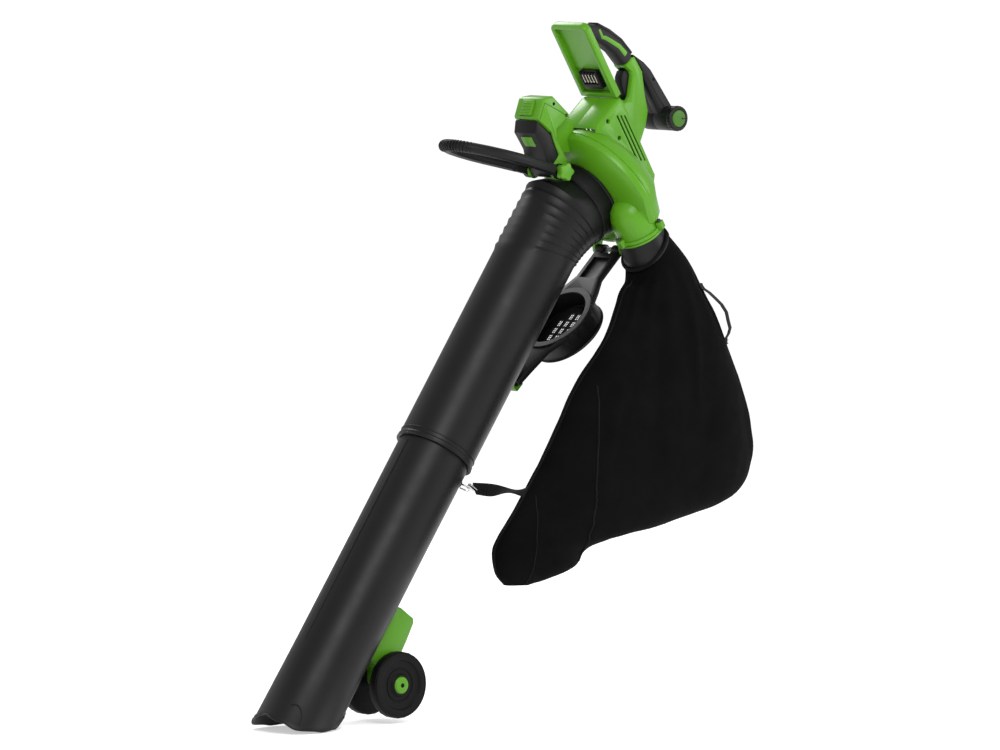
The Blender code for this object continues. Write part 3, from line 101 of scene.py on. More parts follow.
NECK_END_R = 0.0383
NECK_END_X, NECK_END_Z = 0.0073, -0.3106
NECK_END_TILT = math.radians(50)

EYE_HOLE_BACK, EYE_HOLE_ALONG = 0.066, 0.399
EYE_HOLE_R = 0.0037
HOOK_R = 0.0105
HOOK_WIRE_R = 0.0016
GAP = 0.0003


def side_frame(x, z, pitch):
    """A frame in the side plane. Its Z leaves at pitch below the forward horizontal.

    Its X points down and back, and its Y to the near side.
    """
    s, c = math.sin(pitch), math.cos(pitch)
    return Matrix(((s, 0, -c, x), (0, -1, 0, 0), (-c, 0, -s, z), (0, 0, 0, 1)))


def shifted(base, x=0.0, y=0.0, z=0.0):
    return base @ Matrix.Translation((x, y, z))


ALONG_X = Matrix(((0, 0, 1, 0), (0, 1, 0, 0), (-1, 0, 0, 0), (0, 0, 0, 1)))
ALONG_Y = Matrix(((1, 0, 0, 0), (0, 0, 1, 0), (0, -1, 0, 0), (0, 0, 0, 1)))
FAN = side_frame(FAN_X, FAN_Z, FAN_PITCH)
TUBE = side_frame(ELBOW_X, ELBOW_Z, TUBE_PITCH)
LOOP = side_frame(LOOP_X, LOOP_Z, -LOOP_RISE)
WHEEL = shifted(TUBE, WHEEL_BACK, 0, WHEEL_ALONG) @ ALONG_Y
HOOK = shifted(TUBE, EYE_HOLE_BACK + EYE_HOLE_R - HOOK_WIRE_R - GAP + HOOK_R, 0, EYE_HOLE_ALONG)
HINGE_BEHIND = (TUBE.inverted() @ Vector((HINGE_X, 0, HINGE_Z))).x
COVER_PITCH = TUBE_PITCH - math.asin((HINGE_BEHIND - TUBE_R - COVER_TIP_CLEAR) / COVER_LENGTH)
COVER = side_frame(HINGE_X, HINGE_Z, COVER_PITCH)


# Shader helpers

def blank(name):
    made = bpy.data.materials.new(name)
    made.use_nodes = True
    return made, made.node_tree, made.node_tree.nodes["Principled BSDF"]


def place(tree, kind, **values):
    """A new node. A value is set on the node itself, or else on its input of that name."""
    node = tree.nodes.new(kind)
    for key, value in values.items():
        if hasattr(node, key):
            setattr(node, key, value)
        else:
            node.inputs[key].default_value = value
    return node


def noise_at(tree, scale, detail=3.0, stretch=None):
    coords = tree.nodes.new("ShaderNodeTexCoord")
    texture = place(tree, "ShaderNodeTexNoise", Scale=scale, Detail=detail)
    source = coords.outputs["Object"]
    if stretch:
        mapping = place(tree, "ShaderNodeMapping", Scale=stretch)
        tree.links.new(source, mapping.inputs["Vector"])
        source = mapping.outputs["Vector"]
    tree.links.new(source, texture.inputs["Vector"])
    return texture.outputs["Fac"]


def ramp(tree, source, low, high, start=0.3, end=0.7):
    made = tree.nodes.new("ShaderNodeValToRGB")
    made.color_ramp.elements[0].position = start
    made.color_ramp.elements[1].position = end
    made.color_ramp.elements[0].color = (*low, 1)
    made.color_ramp.elements[1].color = (*high, 1)
    tree.links.new(source, made.inputs["Fac"])
    return made.outputs["Color"]


def spread(tree, source, low, high):
    made = tree.nodes.new("ShaderNodeMapRange")
    made.inputs["To Min"].default_value = low
    made.inputs["To Max"].default_value = high
    tree.links.new(source, made.inputs["Value"])
    return made.outputs["Result"]


def larger(tree, a, b):
    made = tree.nodes.new("ShaderNodeMath")
    made.operation = "MAXIMUM"
    tree.links.new(a, made.inputs[0])
    tree.links.new(b, made.inputs[1])
    return made.outputs[0]


def mixed(tree, factor, low, high):
    """The low shader where the factor is 0, and the high one where it is 1."""
    made = tree.nodes.new("ShaderNodeMixShader")
    tree.links.new(factor, made.inputs["Fac"])
    tree.links.new(low, made.inputs[1])
    tree.links.new(high, made.inputs[2])
    return made.outputs["Shader"]


def bump(tree, shader, source, strength, distance):
    made = tree.nodes.new("ShaderNodeBump")
    made.inputs["Strength"].default_value = strength
    made.inputs["Distance"].default_value = distance
    tree.links.new(source, made.inputs["Height"])
    tree.links.new(made.outputs["Normal"], shader.inputs["Normal"])


# Materials

def plastic(name, colour, rough, grain=0.10, grain_scale=1500, coat=0.0, shift=0.10, mirror=0.5):
    """Moulded plastic: a fine spark-eroded grain, faint flow clouding and uneven gloss from handling."""
    made, tree, shader = blank(name)
    dark = tuple(c * (1 - shift) for c in colour)
    light = tuple(min(1, c * (1 + shift)) for c in colour)
    gloss = spread(tree, noise_at(tree, 35.0, 5), rough - 0.07, rough + 0.07)
    tree.links.new(ramp(tree, noise_at(tree, 9.0, 4), dark, light), shader.inputs["Base Color"])
    tree.links.new(gloss, shader.inputs["Roughness"])
    bump(tree, shader, noise_at(tree, grain_scale, 2), grain, 0.0004)
    shader.inputs["Specular IOR Level"].default_value = mirror
    if coat:
        shader.inputs["Coat Weight"].default_value = coat
        shader.inputs["Coat Roughness"].default_value = 0.18
    return made


def knitted(name, colour, pitch, strength, sheen):
    """Woven cloth: two crossed sets of threads, with uneven dye."""
    made, tree, shader = blank(name)
    coords = tree.nodes.new("ShaderNodeTexCoord")
    threads = []
    for direction in ("X", "Z"):
        wave = place(tree, "ShaderNodeTexWave", wave_type="BANDS", bands_direction=direction,
                     Scale=math.pi / (10 * pitch), Distortion=0.4)
        tree.links.new(coords.outputs["Object"], wave.inputs["Vector"])
        threads.append(wave.outputs["Fac"])
    dark, light = tuple(c * 0.7 for c in colour), tuple(c * 1.5 for c in colour)
    tree.links.new(ramp(tree, noise_at(tree, 16.0, 6), dark, light), shader.inputs["Base Color"])
    tree.links.new(spread(tree, noise_at(tree, 60.0, 4), 0.80, 0.95), shader.inputs["Roughness"])
    bump(tree, shader, larger(tree, *threads), strength, 0.0003)
    shader.inputs["Specular IOR Level"].default_value = 0.05
    shader.inputs["Sheen Weight"].default_value = sheen
    shader.inputs["Sheen Roughness"].default_value = 0.5
    return made


def metal(name, colour, rough):
    """Bare metal, drawn along its length, with slightly uneven polish."""
    made, tree, shader = blank(name)
    shader.inputs["Metallic"].default_value = 1.0
    dark = tuple(c * 0.85 for c in colour)
    gloss = spread(tree, noise_at(tree, 500.0, 3, (1, 1, 0.05)), rough - 0.1, rough + 0.12)
    tree.links.new(ramp(tree, noise_at(tree, 220.0, 4), dark, colour), shader.inputs["Base Color"])
    tree.links.new(gloss, shader.inputs["Roughness"])
    return made


GREEN = plastic("green_plastic", (0.092, 0.300, 0.010), 0.34, 0.05, coat=0.08, shift=0.05, mirror=0.26)
# A darker copy of the green: painted shade on the dial cap, and the dark line of the joint on the nose seams.
GREEN_SHADE_AND_SEAM = plastic("green_painted_shade_and_seam", (0.050, 0.160, 0.012), 0.50, 0.05, mirror=0.3)
BLACK = plastic("black_plastic", (0.0058, 0.0058, 0.0062), 0.46, 0.10, mirror=0.20)
TUBE_BLACK = plastic("tube_plastic", (0.0058, 0.0058, 0.0060), 0.44, 0.07, mirror=0.22)
# Near-black, for discs that stand for the inside of holes: painted shade.
HOLE_SHADE = plastic("painted_hole_shade", (0.002, 0.002, 0.002), 0.7, 0.05, mirror=0.1)
SOFT = plastic("soft_grip", (0.0130, 0.0100, 0.0140), 0.62, 0.35, 900, mirror=0.3)
RUBBER = plastic("wheel_rubber", (0.0030, 0.0030, 0.0032), 0.55, 0.25, 700, mirror=0.13)
DARK_STEEL = plastic("blackened_screw", (0.0100, 0.0100, 0.0100), 0.40, 0.05, mirror=0.6)
BOARD = plastic("board", (0.02, 0.12, 0.05), 0.5)
STEEL = metal("steel", (0.62, 0.62, 0.64), 0.28)
BRASS = metal("contact_metal", (0.72, 0.68, 0.58), 0.34)
CLOTH = knitted("bag_fabric", (0.0022, 0.0022, 0.0023), 0.0009, 0.55, 0.006)
BINDING = knitted("binding_tape", (0.0062, 0.0062, 0.0064), 0.0007, 0.7, 0.05)
WEBBING = knitted("webbing", (0.0085, 0.0085, 0.0088), 0.0014, 0.9, 0.05)
THREAD = knitted("thread", (0.020, 0.020, 0.021), 0.0005, 0.5, 0.05)

# The material of each slot of the record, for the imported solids
SLOT_MATERIALS = {
    "green_plastic": GREEN, "black_plastic": BLACK, "soft_grip": SOFT, "steel": STEEL, "contact_metal": BRASS,
    "board": BOARD, "bag_fabric": CLOTH, "webbing": WEBBING, "wheel_rubber": RUBBER,
}

# The record's slot for each material; finish_piece looks a new piece's slot up here but keeps it nowhere
SLOTS = {
    GREEN: "green_plastic", GREEN_SHADE_AND_SEAM: "green_plastic", BLACK: "black_plastic", TUBE_BLACK: "black_plastic",
    RUBBER: "wheel_rubber", DARK_STEEL: "steel", STEEL: "steel", CLOTH: "bag_fabric", BINDING: "bag_fabric",
    WEBBING: "webbing", THREAD: "webbing",
}


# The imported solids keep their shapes: they get soft edges, smooth round faces and their materials

NO_BEVEL = {
    "upper_tube", "lower_tube", "trigger_spring", "button_spring", "cover_spring", "snap_hook", "hook_gate",
    "cover_grille", "motor_rotor", "impeller", "bag", "bag_neck", "terminal_contacts",
}
# The dial cap takes the darker green, which is painted shade.
PAINTED = {
    "upper_tube": TUBE_BLACK, "lower_tube": TUBE_BLACK, "intake_collar": TUBE_BLACK, "bag_neck": TUBE_BLACK,
    "bag_collar": TUBE_BLACK, "dial_cap": GREEN_SHADE_AND_SEAM, "casing_screw_1": DARK_STEEL,
    "casing_screw_2": DARK_STEEL,
}
EDGE_WIDTH = 0.0005
WIDE_EDGES = {"loop_handle": 0.0012, "grip_left": 0.0008, "grip_right": 0.0008}


def dress_nodes():
    slots = {s["node"]: s["material_slot"] for s in frame["record"]["subparts"]}
    for name, obj in NODES.items():
        mesh = obj.data
        for layer in [a.name for a in mesh.attributes if a.name == "custom_normal"]:
            mesh.attributes.remove(mesh.attributes[layer])
        mesh.polygons.foreach_set("use_smooth", [True] * len(mesh.polygons))
        weld = obj.modifiers.new("weld", "WELD")
        weld.merge_threshold = 2e-6
        if name not in NO_BEVEL:
            edge = obj.modifiers.new("edges", "BEVEL")
            edge.width = WIDE_EDGES.get(name, EDGE_WIDTH)
            edge.segments = 2
            edge.limit_method = "ANGLE"
            edge.angle_limit = math.radians(42)
            edge.use_clamp_overlap = True
        split = obj.modifiers.new("sharp", "EDGE_SPLIT")
        split.split_angle = math.radians(34)
        mesh.materials.clear()
        mesh.materials.append(PAINTED.get(name, SLOT_MATERIALS[slots[name]]))


# Building helpers

def finish_piece(name, bm, base, used, body="machine", angle=50, slot=None):
    bmesh.ops.recalc_face_normals(bm, faces=bm.faces)
    mesh = bpy.data.meshes.new(name)
    bm.to_mesh(mesh)
    bm.free()
    obj = bpy.data.objects.new(name, mesh)
    bpy.context.scene.collection.objects.link(obj)
    obj.matrix_world = base
    mesh.materials.append(used)
    mesh.shade_smooth()
    mesh.set_sharp_from_angle(angle=math.radians(angle))
    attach(obj, body)
    slot = slot or SLOTS.get(used)
    return obj


def circle(steps):
    """Directions round a circle, as cosine and sine."""
    return [(math.cos(math.tau * k / steps), math.sin(math.tau * k / steps)) for k in range(steps)]


def strip(bm, rows):
    """Faces between neighbouring rows of points, each row closed round."""
    count = len(rows[0])
    for a, b in zip(rows, rows[1:]):
        for k in range(count):
            j = (k + 1) % count
            bm.faces.new((a[k], a[j], b[j], b[k]))


def skin(bm, rows, ring=False):
    """A closed surface over rows of points: a ring, or a bar with a cap at each end."""
    strip(bm, rows + rows[:1] if ring else rows)
    if not ring:
        bm.faces.new(rows[0])
        bm.faces.new(rows[-1][::-1])


def box_piece(name, low, high, base, used, body="machine", bevel=0.0006):
    bm = bmesh.new()
    bmesh.ops.create_cube(bm, size=1.0)
    for vert in bm.verts:
        vert.co = [(a + b) / 2 + c * (b - a) for a, b, c in zip(low, high, vert.co)]
    bmesh.ops.bevel(bm, geom=bm.edges[:], offset=bevel, segments=3, affect="EDGES", profile=0.5)
    return finish_piece(name, bm, base, used, body)


def lathe(name, profile, base, used, body="machine", steps=72, ring=False, slot=None):
    """A profile of (radius, height) turned about the frame's local Z."""
    bm = bmesh.new()
    skin(bm, [[bm.verts.new((r * c, r * s, z)) for c, s in circle(steps)] for r, z in profile], ring)
    bmesh.ops.remove_doubles(bm, verts=bm.verts, dist=1e-7)
    return finish_piece(name, bm, base, used, body, 40, slot)


def band(name, inner, outer, low, high, base, used, body="machine", steps=72):
    """A ring with rounded corners."""
    r = min(outer - inner, high - low) * 0.3
    profile = [
        (inner, low + r), (inner + r, low), (outer - r, low), (outer, low + r),
        (outer, high - r), (outer - r, high), (inner + r, high), (inner, high - r),
    ]
    return lathe(name, profile, base, used, body, steps, ring=True)


def wire(name, points, radius, base, used, body="machine", ring=False, sides=10):
    """A round bar along points."""
    bm = bmesh.new()
    points = [Vector(p) for p in points]
    count = len(points)
    rows, up = [], None
    for i, p in enumerate(points):
        before = points[i - 1] if (i or ring) else p
        after = points[(i + 1) % count] if (i < count - 1 or ring) else p
        along = (after - before).normalized()
        if up is None:
            up = along.orthogonal().normalized()
        up = (up - along * up.dot(along)).normalized()
        side = along.cross(up)
        rows.append([bm.verts.new(p + up * (radius * c) + side * (radius * s)) for c, s in circle(sides)])
    skin(bm, rows, ring)
    return finish_piece(name, bm, base, used, body)


def ribbon(name, line, width, thick, used):
    """Webbing along (point, across, out) rows, with soft selvedges."""
    bm = bmesh.new()
    columns = 10
    rows = []
    for point, across, out in line:
        a, o = across.normalized(), out.normalized()
        row = []
        for side in (1, -1):
            for k in range(columns + 1):
                t = side * (k / columns * 2 - 1)
                height = side * thick / 2 * (1 - 0.6 * abs(t) ** 6)
                row.append(bm.verts.new(point + a * (t * width / 2) + o * height))
        rows.append(row)
    skin(bm, rows)
    return finish_piece(name, bm, Matrix(), used, angle=60)


def surface_of(*names):
    """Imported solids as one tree, to find the surface that a trim lies on."""
    points, faces = [], []
    for name in names:
        mesh = NODES[name].data
        start = len(points)
        points += [v.co.copy() for v in mesh.vertices]
        faces += [[start + i for i in f.vertices] for f in mesh.polygons]
    return BVHTree.FromPolygons(points, faces)


def side_hit(tree, x, z, side):
    """The surface point and its outward normal at (x, z), seen from the near (1) or far (-1) side."""
    point, normal, _, _ = tree.ray_cast(Vector((x, -side * 0.3, z)), Vector((0, side, 0)))
    if point is None:
        return None
    return point, (normal if normal.y * side < 0 else -normal)


def inlay(name, tree, edges, side, used, rise):
    """A thin band on a side surface, between two edge lines of (x, z), with a rounded crown."""
    across = 6
    sunk = 0.0004
    bm = bmesh.new()
    rows = []
    for (x0, z0), (x1, z1) in edges:
        shares = [k / across for k in range(across + 1)]
        found = [side_hit(tree, x0 + (x1 - x0) * t, z0 + (z1 - z0) * t, side) for t in shares]
        if None in found:
            continue
        heights = [rise if 0 < t < 1 else rise * 0.3 for t in shares]
        crown = [point + normal * height for height, (point, normal) in zip(heights, found)]
        under = [point - normal * sunk for point, normal in found]
        rows.append([bm.verts.new(p) for p in crown + under[::-1]])
    skin(bm, rows)
    return finish_piece(name, bm, Matrix(), used)


def fine(line, steps=5):
    """A line with each stretch cut into steps."""
    made = []
    for a, b in zip(line, line[1:]):
        made += [tuple(u + (v - u) * k / steps for u, v in zip(a, b)) for k in range(steps)]
    return [*made, line[-1]]


def shaded_hole_disc(name, tree, x, z, side, radius=0.0026):
    """A screw hole as a near-black disc with a raised rim: painted shade for the hole's dark mouth."""
    found = side_hit(tree, x, z, side)
    if found is None:
        return
    point, normal = found
    base = Matrix.Translation(point) @ normal.to_track_quat("Z", "Y").to_matrix().to_4x4()
    profile = [(0, -0.0012), (radius, -0.0012), (radius, 0.00005), (radius - 0.0004, 0.00025), (0, 0.0001)]
    lathe(name, profile, base, HOLE_SHADE, steps=24)


# Tubes: lips at the joint, the rolled rim of the mouth, its moulded step and the parting lines

# How far the mouth's edge stands past its slanted plane, by angle from the back of the tube
MOUTH_EDGE = (
    (0, -0.0300), (38, -0.0270), (60, -0.0040), (90, 0.0050), (122, 0.0090), (150, 0.0000), (180, -0.0080),
)
LIP_SUNK = 0.0012
SEAM_R = 0.0007
RIM_R = 0.0013
RIM_STEPS = 120
# Along the tube, where the lower tube's parting line has its points, and where the tube starts to widen
PARTING_AT = (0.396, 0.500, 0.600, 0.700, 0.742)
FLARE_AT = 0.7


def mouth_edge(turn):
    angle = math.degrees(math.acos(max(-1.0, min(1.0, math.cos(turn)))))
    for (a, low), (b, high) in zip(MOUTH_EDGE, MOUTH_EDGE[1:]):
        if angle <= b:
            part = (angle - a) / (b - a)
            return low + (high - low) * part * part * (3 - 2 * part)
    return MOUTH_EDGE[-1][1]


def mouth_point(turn, radius, inset):
    """A point at the mouth in the tube's frame, so far inside its edge."""
    x = radius * math.cos(turn)
    edge = NOZZLE_END - math.tan(NOZZLE_CUT) * x + mouth_edge(turn)
    return Vector((x, radius * math.sin(turn), edge - inset))


def tube_lip(name, proud, low, high):
    """A raised ring at the joint, from low to high along the tube."""
    base = shifted(TUBE, 0, 0, TUBE_JOINT)
    band(name, TUBE_R - LIP_SUNK, TUBE_R + proud, low, high, base, TUBE_BLACK, steps=96)


def make_tube_details():
    tube_lip("tube_lip_upper", 0.0010, -0.0150, -0.0132)
    tube_lip("tube_lip_lower", 0.0019, -0.0022, 0.0003)
    rim = [TUBE @ mouth_point(math.tau * k / RIM_STEPS, NOZZLE_R - 0.0006, 0.0008) for k in range(RIM_STEPS)]
    wire("nozzle_rim", rim, RIM_R, Matrix(), TUBE_BLACK, ring=True)
    for where, side in (("back", 1), ("front", -1)):
        line = []
        for along in PARTING_AT:
            proud = 0.0002 if along < FLARE_AT else 0.0004
            line.append((side * (LOWER_R + proud), 0, along))
        wire(f"tube_parting_{where}", line, SEAM_R, TUBE, TUBE_BLACK, sides=8)
    step = []
    for k in range(20):
        inset = 0.010 + 0.026 * math.sqrt(1 - ((k - 12) / 12) ** 2)
        step.append(mouth_point(math.radians(122 + 30 * k / 24), NOZZLE_R + 0.0003, inset))
    wire("nozzle_step", step, 0.0006, TUBE, TUBE_BLACK, sides=8)


# Scroll: its parting line, the rims of intake and outlet, and the outlet's lugs with their screws

# Inner and outer radius, low and high end of each ring
INTAKE_RIM = (0.0590, 0.0634, 0.0006, 0.0050)
INTAKE_BEAD = (0.0600, 0.0630, 0.0285, 0.0315)
OUTLET_RIM = (0.0335, 0.0372, 0.0600, 0.0655)
LUG_LOW, LUG_HIGH = (-0.0435, -0.0060, 0.0530), (-0.0345, 0.0060, 0.0652)
LUG_TURNS = (0, 115, 245)
LUG_SCREW_AT = -0.0396
LUG_SCREW = ((0, 0.0490), (0.0022, 0.0490), (0.0030, 0.0502), (0.0030, 0.0531), (0, 0.0531))

def scroll_radius(angle):
    part = (SCROLL_FROM - angle) / SCROLL_TURN
    return SCROLL_START_R + (SCROLL_END_R - SCROLL_START_R) * part**SCROLL_GROWTH


def make_scroll_details():
    parting = []
    for k in range(91):
        angle = 8 - 3 * k
        r, t = scroll_radius(angle) - GAP, math.radians(angle)
        parting.append((r * math.cos(t), r * math.sin(t), SCROLL_SEAM))
    wire("scroll_parting", parting, SEAM_R, FAN, GREEN, sides=8)
    collar = shifted(FAN, 0, 0, EYE_FACE)
    band("intake_rim", *INTAKE_RIM, collar, TUBE_BLACK, steps=96)
    band("intake_bead", *INTAKE_BEAD, collar, TUBE_BLACK, steps=96)
    outlet = shifted(FAN, 0, OUTLET_NEAR, OUTLET_AHEAD) @ ALONG_X
    band("outlet_rim", *OUTLET_RIM, outlet, GREEN, steps=80)
    for k, turn in enumerate(LUG_TURNS):
        spot = outlet @ Matrix.Rotation(math.radians(turn), 4, "Z")
        box_piece(f"outlet_lug_{k}", LUG_LOW, LUG_HIGH, spot, GREEN, bevel=0.0012)
        lathe(f"outlet_screw_{k}", LUG_SCREW, shifted(spot, LUG_SCREW_AT), DARK_STEEL, steps=24)


# Casing, tray and handle

TERMINAL_RIBS = 4
TERMINAL_RIB_FIRST = -0.01013
TERMINAL_RIB_PITCH = 0.00675
GRIP_BAND_UPPER = (
    (-0.0330, 0.0240), (-0.0275, 0.0130), (-0.0225, 0.0128), (-0.0110, 0.0080), (0.0075, -0.0010),
    (0.0215, -0.0130),
)
GRIP_BAND_LOWER = (
    (-0.0370, 0.0215), (-0.0300, 0.0085), (-0.0225, 0.0065), (-0.0125, 0.0015), (0.0045, -0.0075),
    (0.0165, -0.0195),
)
LEG_SCREWS = ((0.0330, -0.0200), (0.0640, -0.0860), (0.0100, -0.1080))
ARM_SCREWS = ((0.0760, -0.0560), (0.0830, -0.1080))
NOSE_SCREWS = ((-0.1380, -0.0860), (-0.1130, -0.1040))
ARM_RIDGE = ((0.0500, -0.0410), (0.0640, -0.0530), (0.0865, -0.0840), (0.1000, -0.1010))
ARM_SIDE = 0.0143
KNURLS = 24
KNURL_HALF = Vector((0.0006, 0.0008, 0.0030))
KNURL_R, KNURL_OUT = 0.0188, 0.0335
MARK_LOW, MARK_HIGH = (0.0040, -0.0007, 0.0400), (0.0105, 0.0007, 0.0408)
SIDES = (("near", 1), ("far", -1))


def make_terminal_ribs():
    for k in range(TERMINAL_RIBS):
        y = TERMINAL_RIB_FIRST + TERMINAL_RIB_PITCH * k
        low = (-0.1612, y - 0.0007, TRAY_FLOOR + 0.0034)
        high = (-0.1452, y + 0.0007, TRAY_FLOOR + 0.0078)
        box_piece(f"terminal_rib_{k}", low, high, FAN, BLACK, bevel=0.0002)


def make_side_details():
    """The grip's green band, the screw holes as near-black discs of painted shade, and the rear arm's ridge.
    """
    grips = surface_of("grip_left", "grip_right")
    leg = surface_of("housing_left", "housing_right")
    arms = surface_of("rear_arm_left", "rear_arm_right")
    nose = surface_of("nose_shell")
    groups = ((leg, LEG_SCREWS), (arms, ARM_SCREWS), (nose, NOSE_SCREWS))
    screws = [(tree, x, z) for tree, spots in groups for x, z in spots]
    band_edges = list(zip(fine(GRIP_BAND_UPPER), fine(GRIP_BAND_LOWER)))
    for where, side in SIDES:
        inlay(f"grip_band_{where}", grips, band_edges, side, GREEN, 0.0005)
        for k, (tree, x, z) in enumerate(screws):
            shaded_hole_disc(f"screw_hole_shade_{where}_{k}", tree, x, z, side)
    for where, side in SIDES:
        line = [(x, -side * ARM_SIDE, z) for x, z in ARM_RIDGE]
        wire(f"arm_ridge_{where}", line, 0.0008, Matrix(), BLACK, sides=8)


def make_dial_details():
    barrel = Matrix.Translation((BARREL_X, 0, BARREL_Z)) @ Matrix.Rotation(math.pi / 2, 4, "X")
    for k in range(KNURLS):
        spot = shifted(barrel @ Matrix.Rotation(math.tau * k / KNURLS, 4, "Z"), KNURL_R, 0, KNURL_OUT)
        box_piece(f"dial_knurl_{k}", -KNURL_HALF, KNURL_HALF, spot, BLACK, "dial", 0.0003)
    box_piece("dial_mark", MARK_LOW, MARK_HIGH, barrel, BLACK, "dial", 0.0002)


# Nose: ridges of its press pad, its catch plate and the seams of its cheeks

PAD_FRAME = side_frame(-0.1645, -0.0925, -math.radians(19.537))
CATCH_FRAME = side_frame(-0.1630, -0.1430, math.atan2(0.018, 0.026))
NOSE_SEAM = ((-0.1075, -0.1075), (-0.1290, -0.0960), (-0.1560, -0.0840), (-0.1655, -0.1080))
NOSE_SIDE = 0.0284
PAD_RIDGES = 4
PAD_RIDGE_FIRST = -0.0070
PAD_RIDGE_PITCH = 0.0047
CATCH_LOW, CATCH_HIGH = (-0.0085, -0.0120, -0.0008), (0.0085, 0.0120, 0.0016)


def make_nose_details():
    for k in range(PAD_RIDGES):
        x = PAD_RIDGE_FIRST + PAD_RIDGE_PITCH * k
        low, high = (x - 0.0007, -0.0095, 0.0036), (x + 0.0007, 0.0095, 0.0049)
        box_piece(f"button_ridge_{k}", low, high, PAD_FRAME, GREEN, "nose_button", 0.0004)
    box_piece("nose_catch", CATCH_LOW, CATCH_HIGH, CATCH_FRAME, GREEN, bevel=0.0007)
    for where, side in SIDES:
        line = [(x, -side * NOSE_SIDE, z) for x, z in NOSE_SEAM]
        wire(f"nose_seam_{where}", line, SEAM_R, Matrix(), GREEN_SHADE_AND_SEAM, sides=6)


# Loop handle: grip ridges round the front of its bow

LOOP_RIDGES = 15
LOOP_RIDGE = (0.0078, 0.0089, -0.0009, 0.0009)


def make_loop_details():
    line = []
    for k in range(LOOP_RIDGES):
        t = math.pi * (0.32 + 0.36 * k / (LOOP_RIDGES - 1))
        line.append((LOOP_HALF_WIDTH * math.cos(t), LOOP_LENGTH - LOOP_BOW + LOOP_BOW * math.sin(t)))
    for k, (y, z) in enumerate(line):
        before, after = line[max(0, k - 1)], line[min(LOOP_RIDGES - 1, k + 1)]
        heading = math.atan2(after[1] - before[1], after[0] - before[0])
        ring = shifted(LOOP, 0, y, z) @ Matrix.Rotation(heading + math.pi / 2, 4, "X")
        band(f"loop_ridge_{k}", *LOOP_RIDGE, ring, BLACK, "front_handle", 28)


# Wheels: tyre edge and inner ring, hub cap ring, and a near-black disc of painted shade for the hub's pit

# Inner and outer radius of each ring
TYRE_EDGE = (WHEEL_R - 0.0046, WHEEL_R - 0.0014)
INNER_RING = (0.0235, 0.0255)
HUB_RING = (0.0062, 0.0078)


def make_wheel_details():
    face = WHEEL_FACE
    pit = [(0.0, face + 0.0026), (0.0030, face + 0.0026), (0.0034, face + 0.0030), (0.0, face + 0.0030)]
    for body, flip in (("right_wheel", 0), ("left_wheel", math.pi)):
        base = WHEEL @ Matrix.Rotation(flip, 4, "X")
        band(f"{body}_tyre_edge", *TYRE_EDGE, face - 0.0024, face + 0.0006, base, RUBBER, body, 96)
        band(f"{body}_inner_ring", *INNER_RING, face - 0.0036, face - 0.0018, base, RUBBER, body)
        # The pit is a thin near-black disc: painted shade.
        lathe(f"{body}_hub_pit_shade", pit, base, HOLE_SHADE, body, 32, slot="wheel_rubber")
        band(f"{body}_hub_ring", *HUB_RING, face + 0.0020, face + 0.0032, base, GREEN, body, 48)


# Intake cover: the lips of its guard ring and the fine mesh behind its bars

MESH_STEP = 0.0036
MESH_REACH = 0.0495
MESH_MARGIN = 0.004
MESH_WIRE_R = 0.00055
MESH_DEPTH_A, MESH_DEPTH_B = 0.0246, 0.0238
# Inner and outer radius, low and high end of each ring
COVER_RINGS = {
    "cover_rim": (0.0508, 0.0612, 0.0278, 0.0312), "cover_lip": (0.0508, 0.0616, -0.0062, -0.0034),
    "cover_lip_inner": (0.0490, 0.0512, 0.0215, 0.0240),
}


def make_cover_details():
    ring = shifted(COVER, 0, 0, COVER_RING_AT) @ ALONG_X
    for name, sizes in COVER_RINGS.items():
        band(name, *sizes, ring, BLACK, "cover", 96)
    count = int((MESH_REACH - MESH_MARGIN) / MESH_STEP)
    first = int(MESH_REACH / MESH_STEP)
    for k in range(-count, count + 1):
        x = k * MESH_STEP
        half = math.sqrt(MESH_REACH**2 - x**2)
        bar_a = [(x, -half, MESH_DEPTH_A), (x, half, MESH_DEPTH_A)]
        bar_b = [(-half, x, MESH_DEPTH_B), (half, x, MESH_DEPTH_B)]
        wire(f"grille_bar_a_{k + first}", bar_a, MESH_WIRE_R, ring, BLACK, "cover", sides=6)
        wire(f"grille_bar_b_{k + first}", bar_b, MESH_WIRE_R, ring, BLACK, "cover", sides=6)


# Bag: cloth drawn through sections, with its folds, seams and hem

# Each section's height, middle x, half length, half thickness and middle y
BAG_SECTIONS = (
    (-0.370, 0.0185, 0.0755, 0.036, -0.096), (-0.429, 0.008, 0.110, 0.043, -0.114),
    (-0.504, -0.007, 0.159, 0.048, -0.116), (-0.579, -0.020, 0.197, 0.050, -0.116),
    (-0.638, -0.036, 0.220, 0.050, -0.115), (-0.689, -0.075, 0.218, 0.046, -0.115),
    (-0.722, -0.156, 0.165, 0.038, -0.115), (-0.745, -0.237, 0.095, 0.032, -0.115),
    (-0.777, -0.254, 0.073, 0.026, -0.115), (-0.796, -0.289, 0.020, 0.014, -0.115),
)
BAG_MIDDLE_Y = -0.115
SHOULDER = Vector((0.018, -0.086, -0.341))
SHOULDER_LEAN = math.radians(20)
CLOTH_THICK = 0.0012
AROUND = 144
# The row of the cloth where each kind of seam starts
EDGE_SEAM_FROM, FRONT_SEAM_FROM, FLAP_SEAM_FROM = 8, 18, 60
# Where the front and flap seams lie: x, slope of x with height, and the height that x is given at
FRONT_SEAM = (-0.150, 0.10, -0.50)
FLAP_SEAM = (-0.262, 0.16, -0.66)


def rounded_section(a, b, power):
    """A section between an ellipse and a rectangle, with half sizes a and b."""
    def bulged(value):
        return math.copysign(abs(value) ** (2 / power), value)
    return [(a * bulged(c), b * bulged(s)) for c, s in circle(AROUND)]


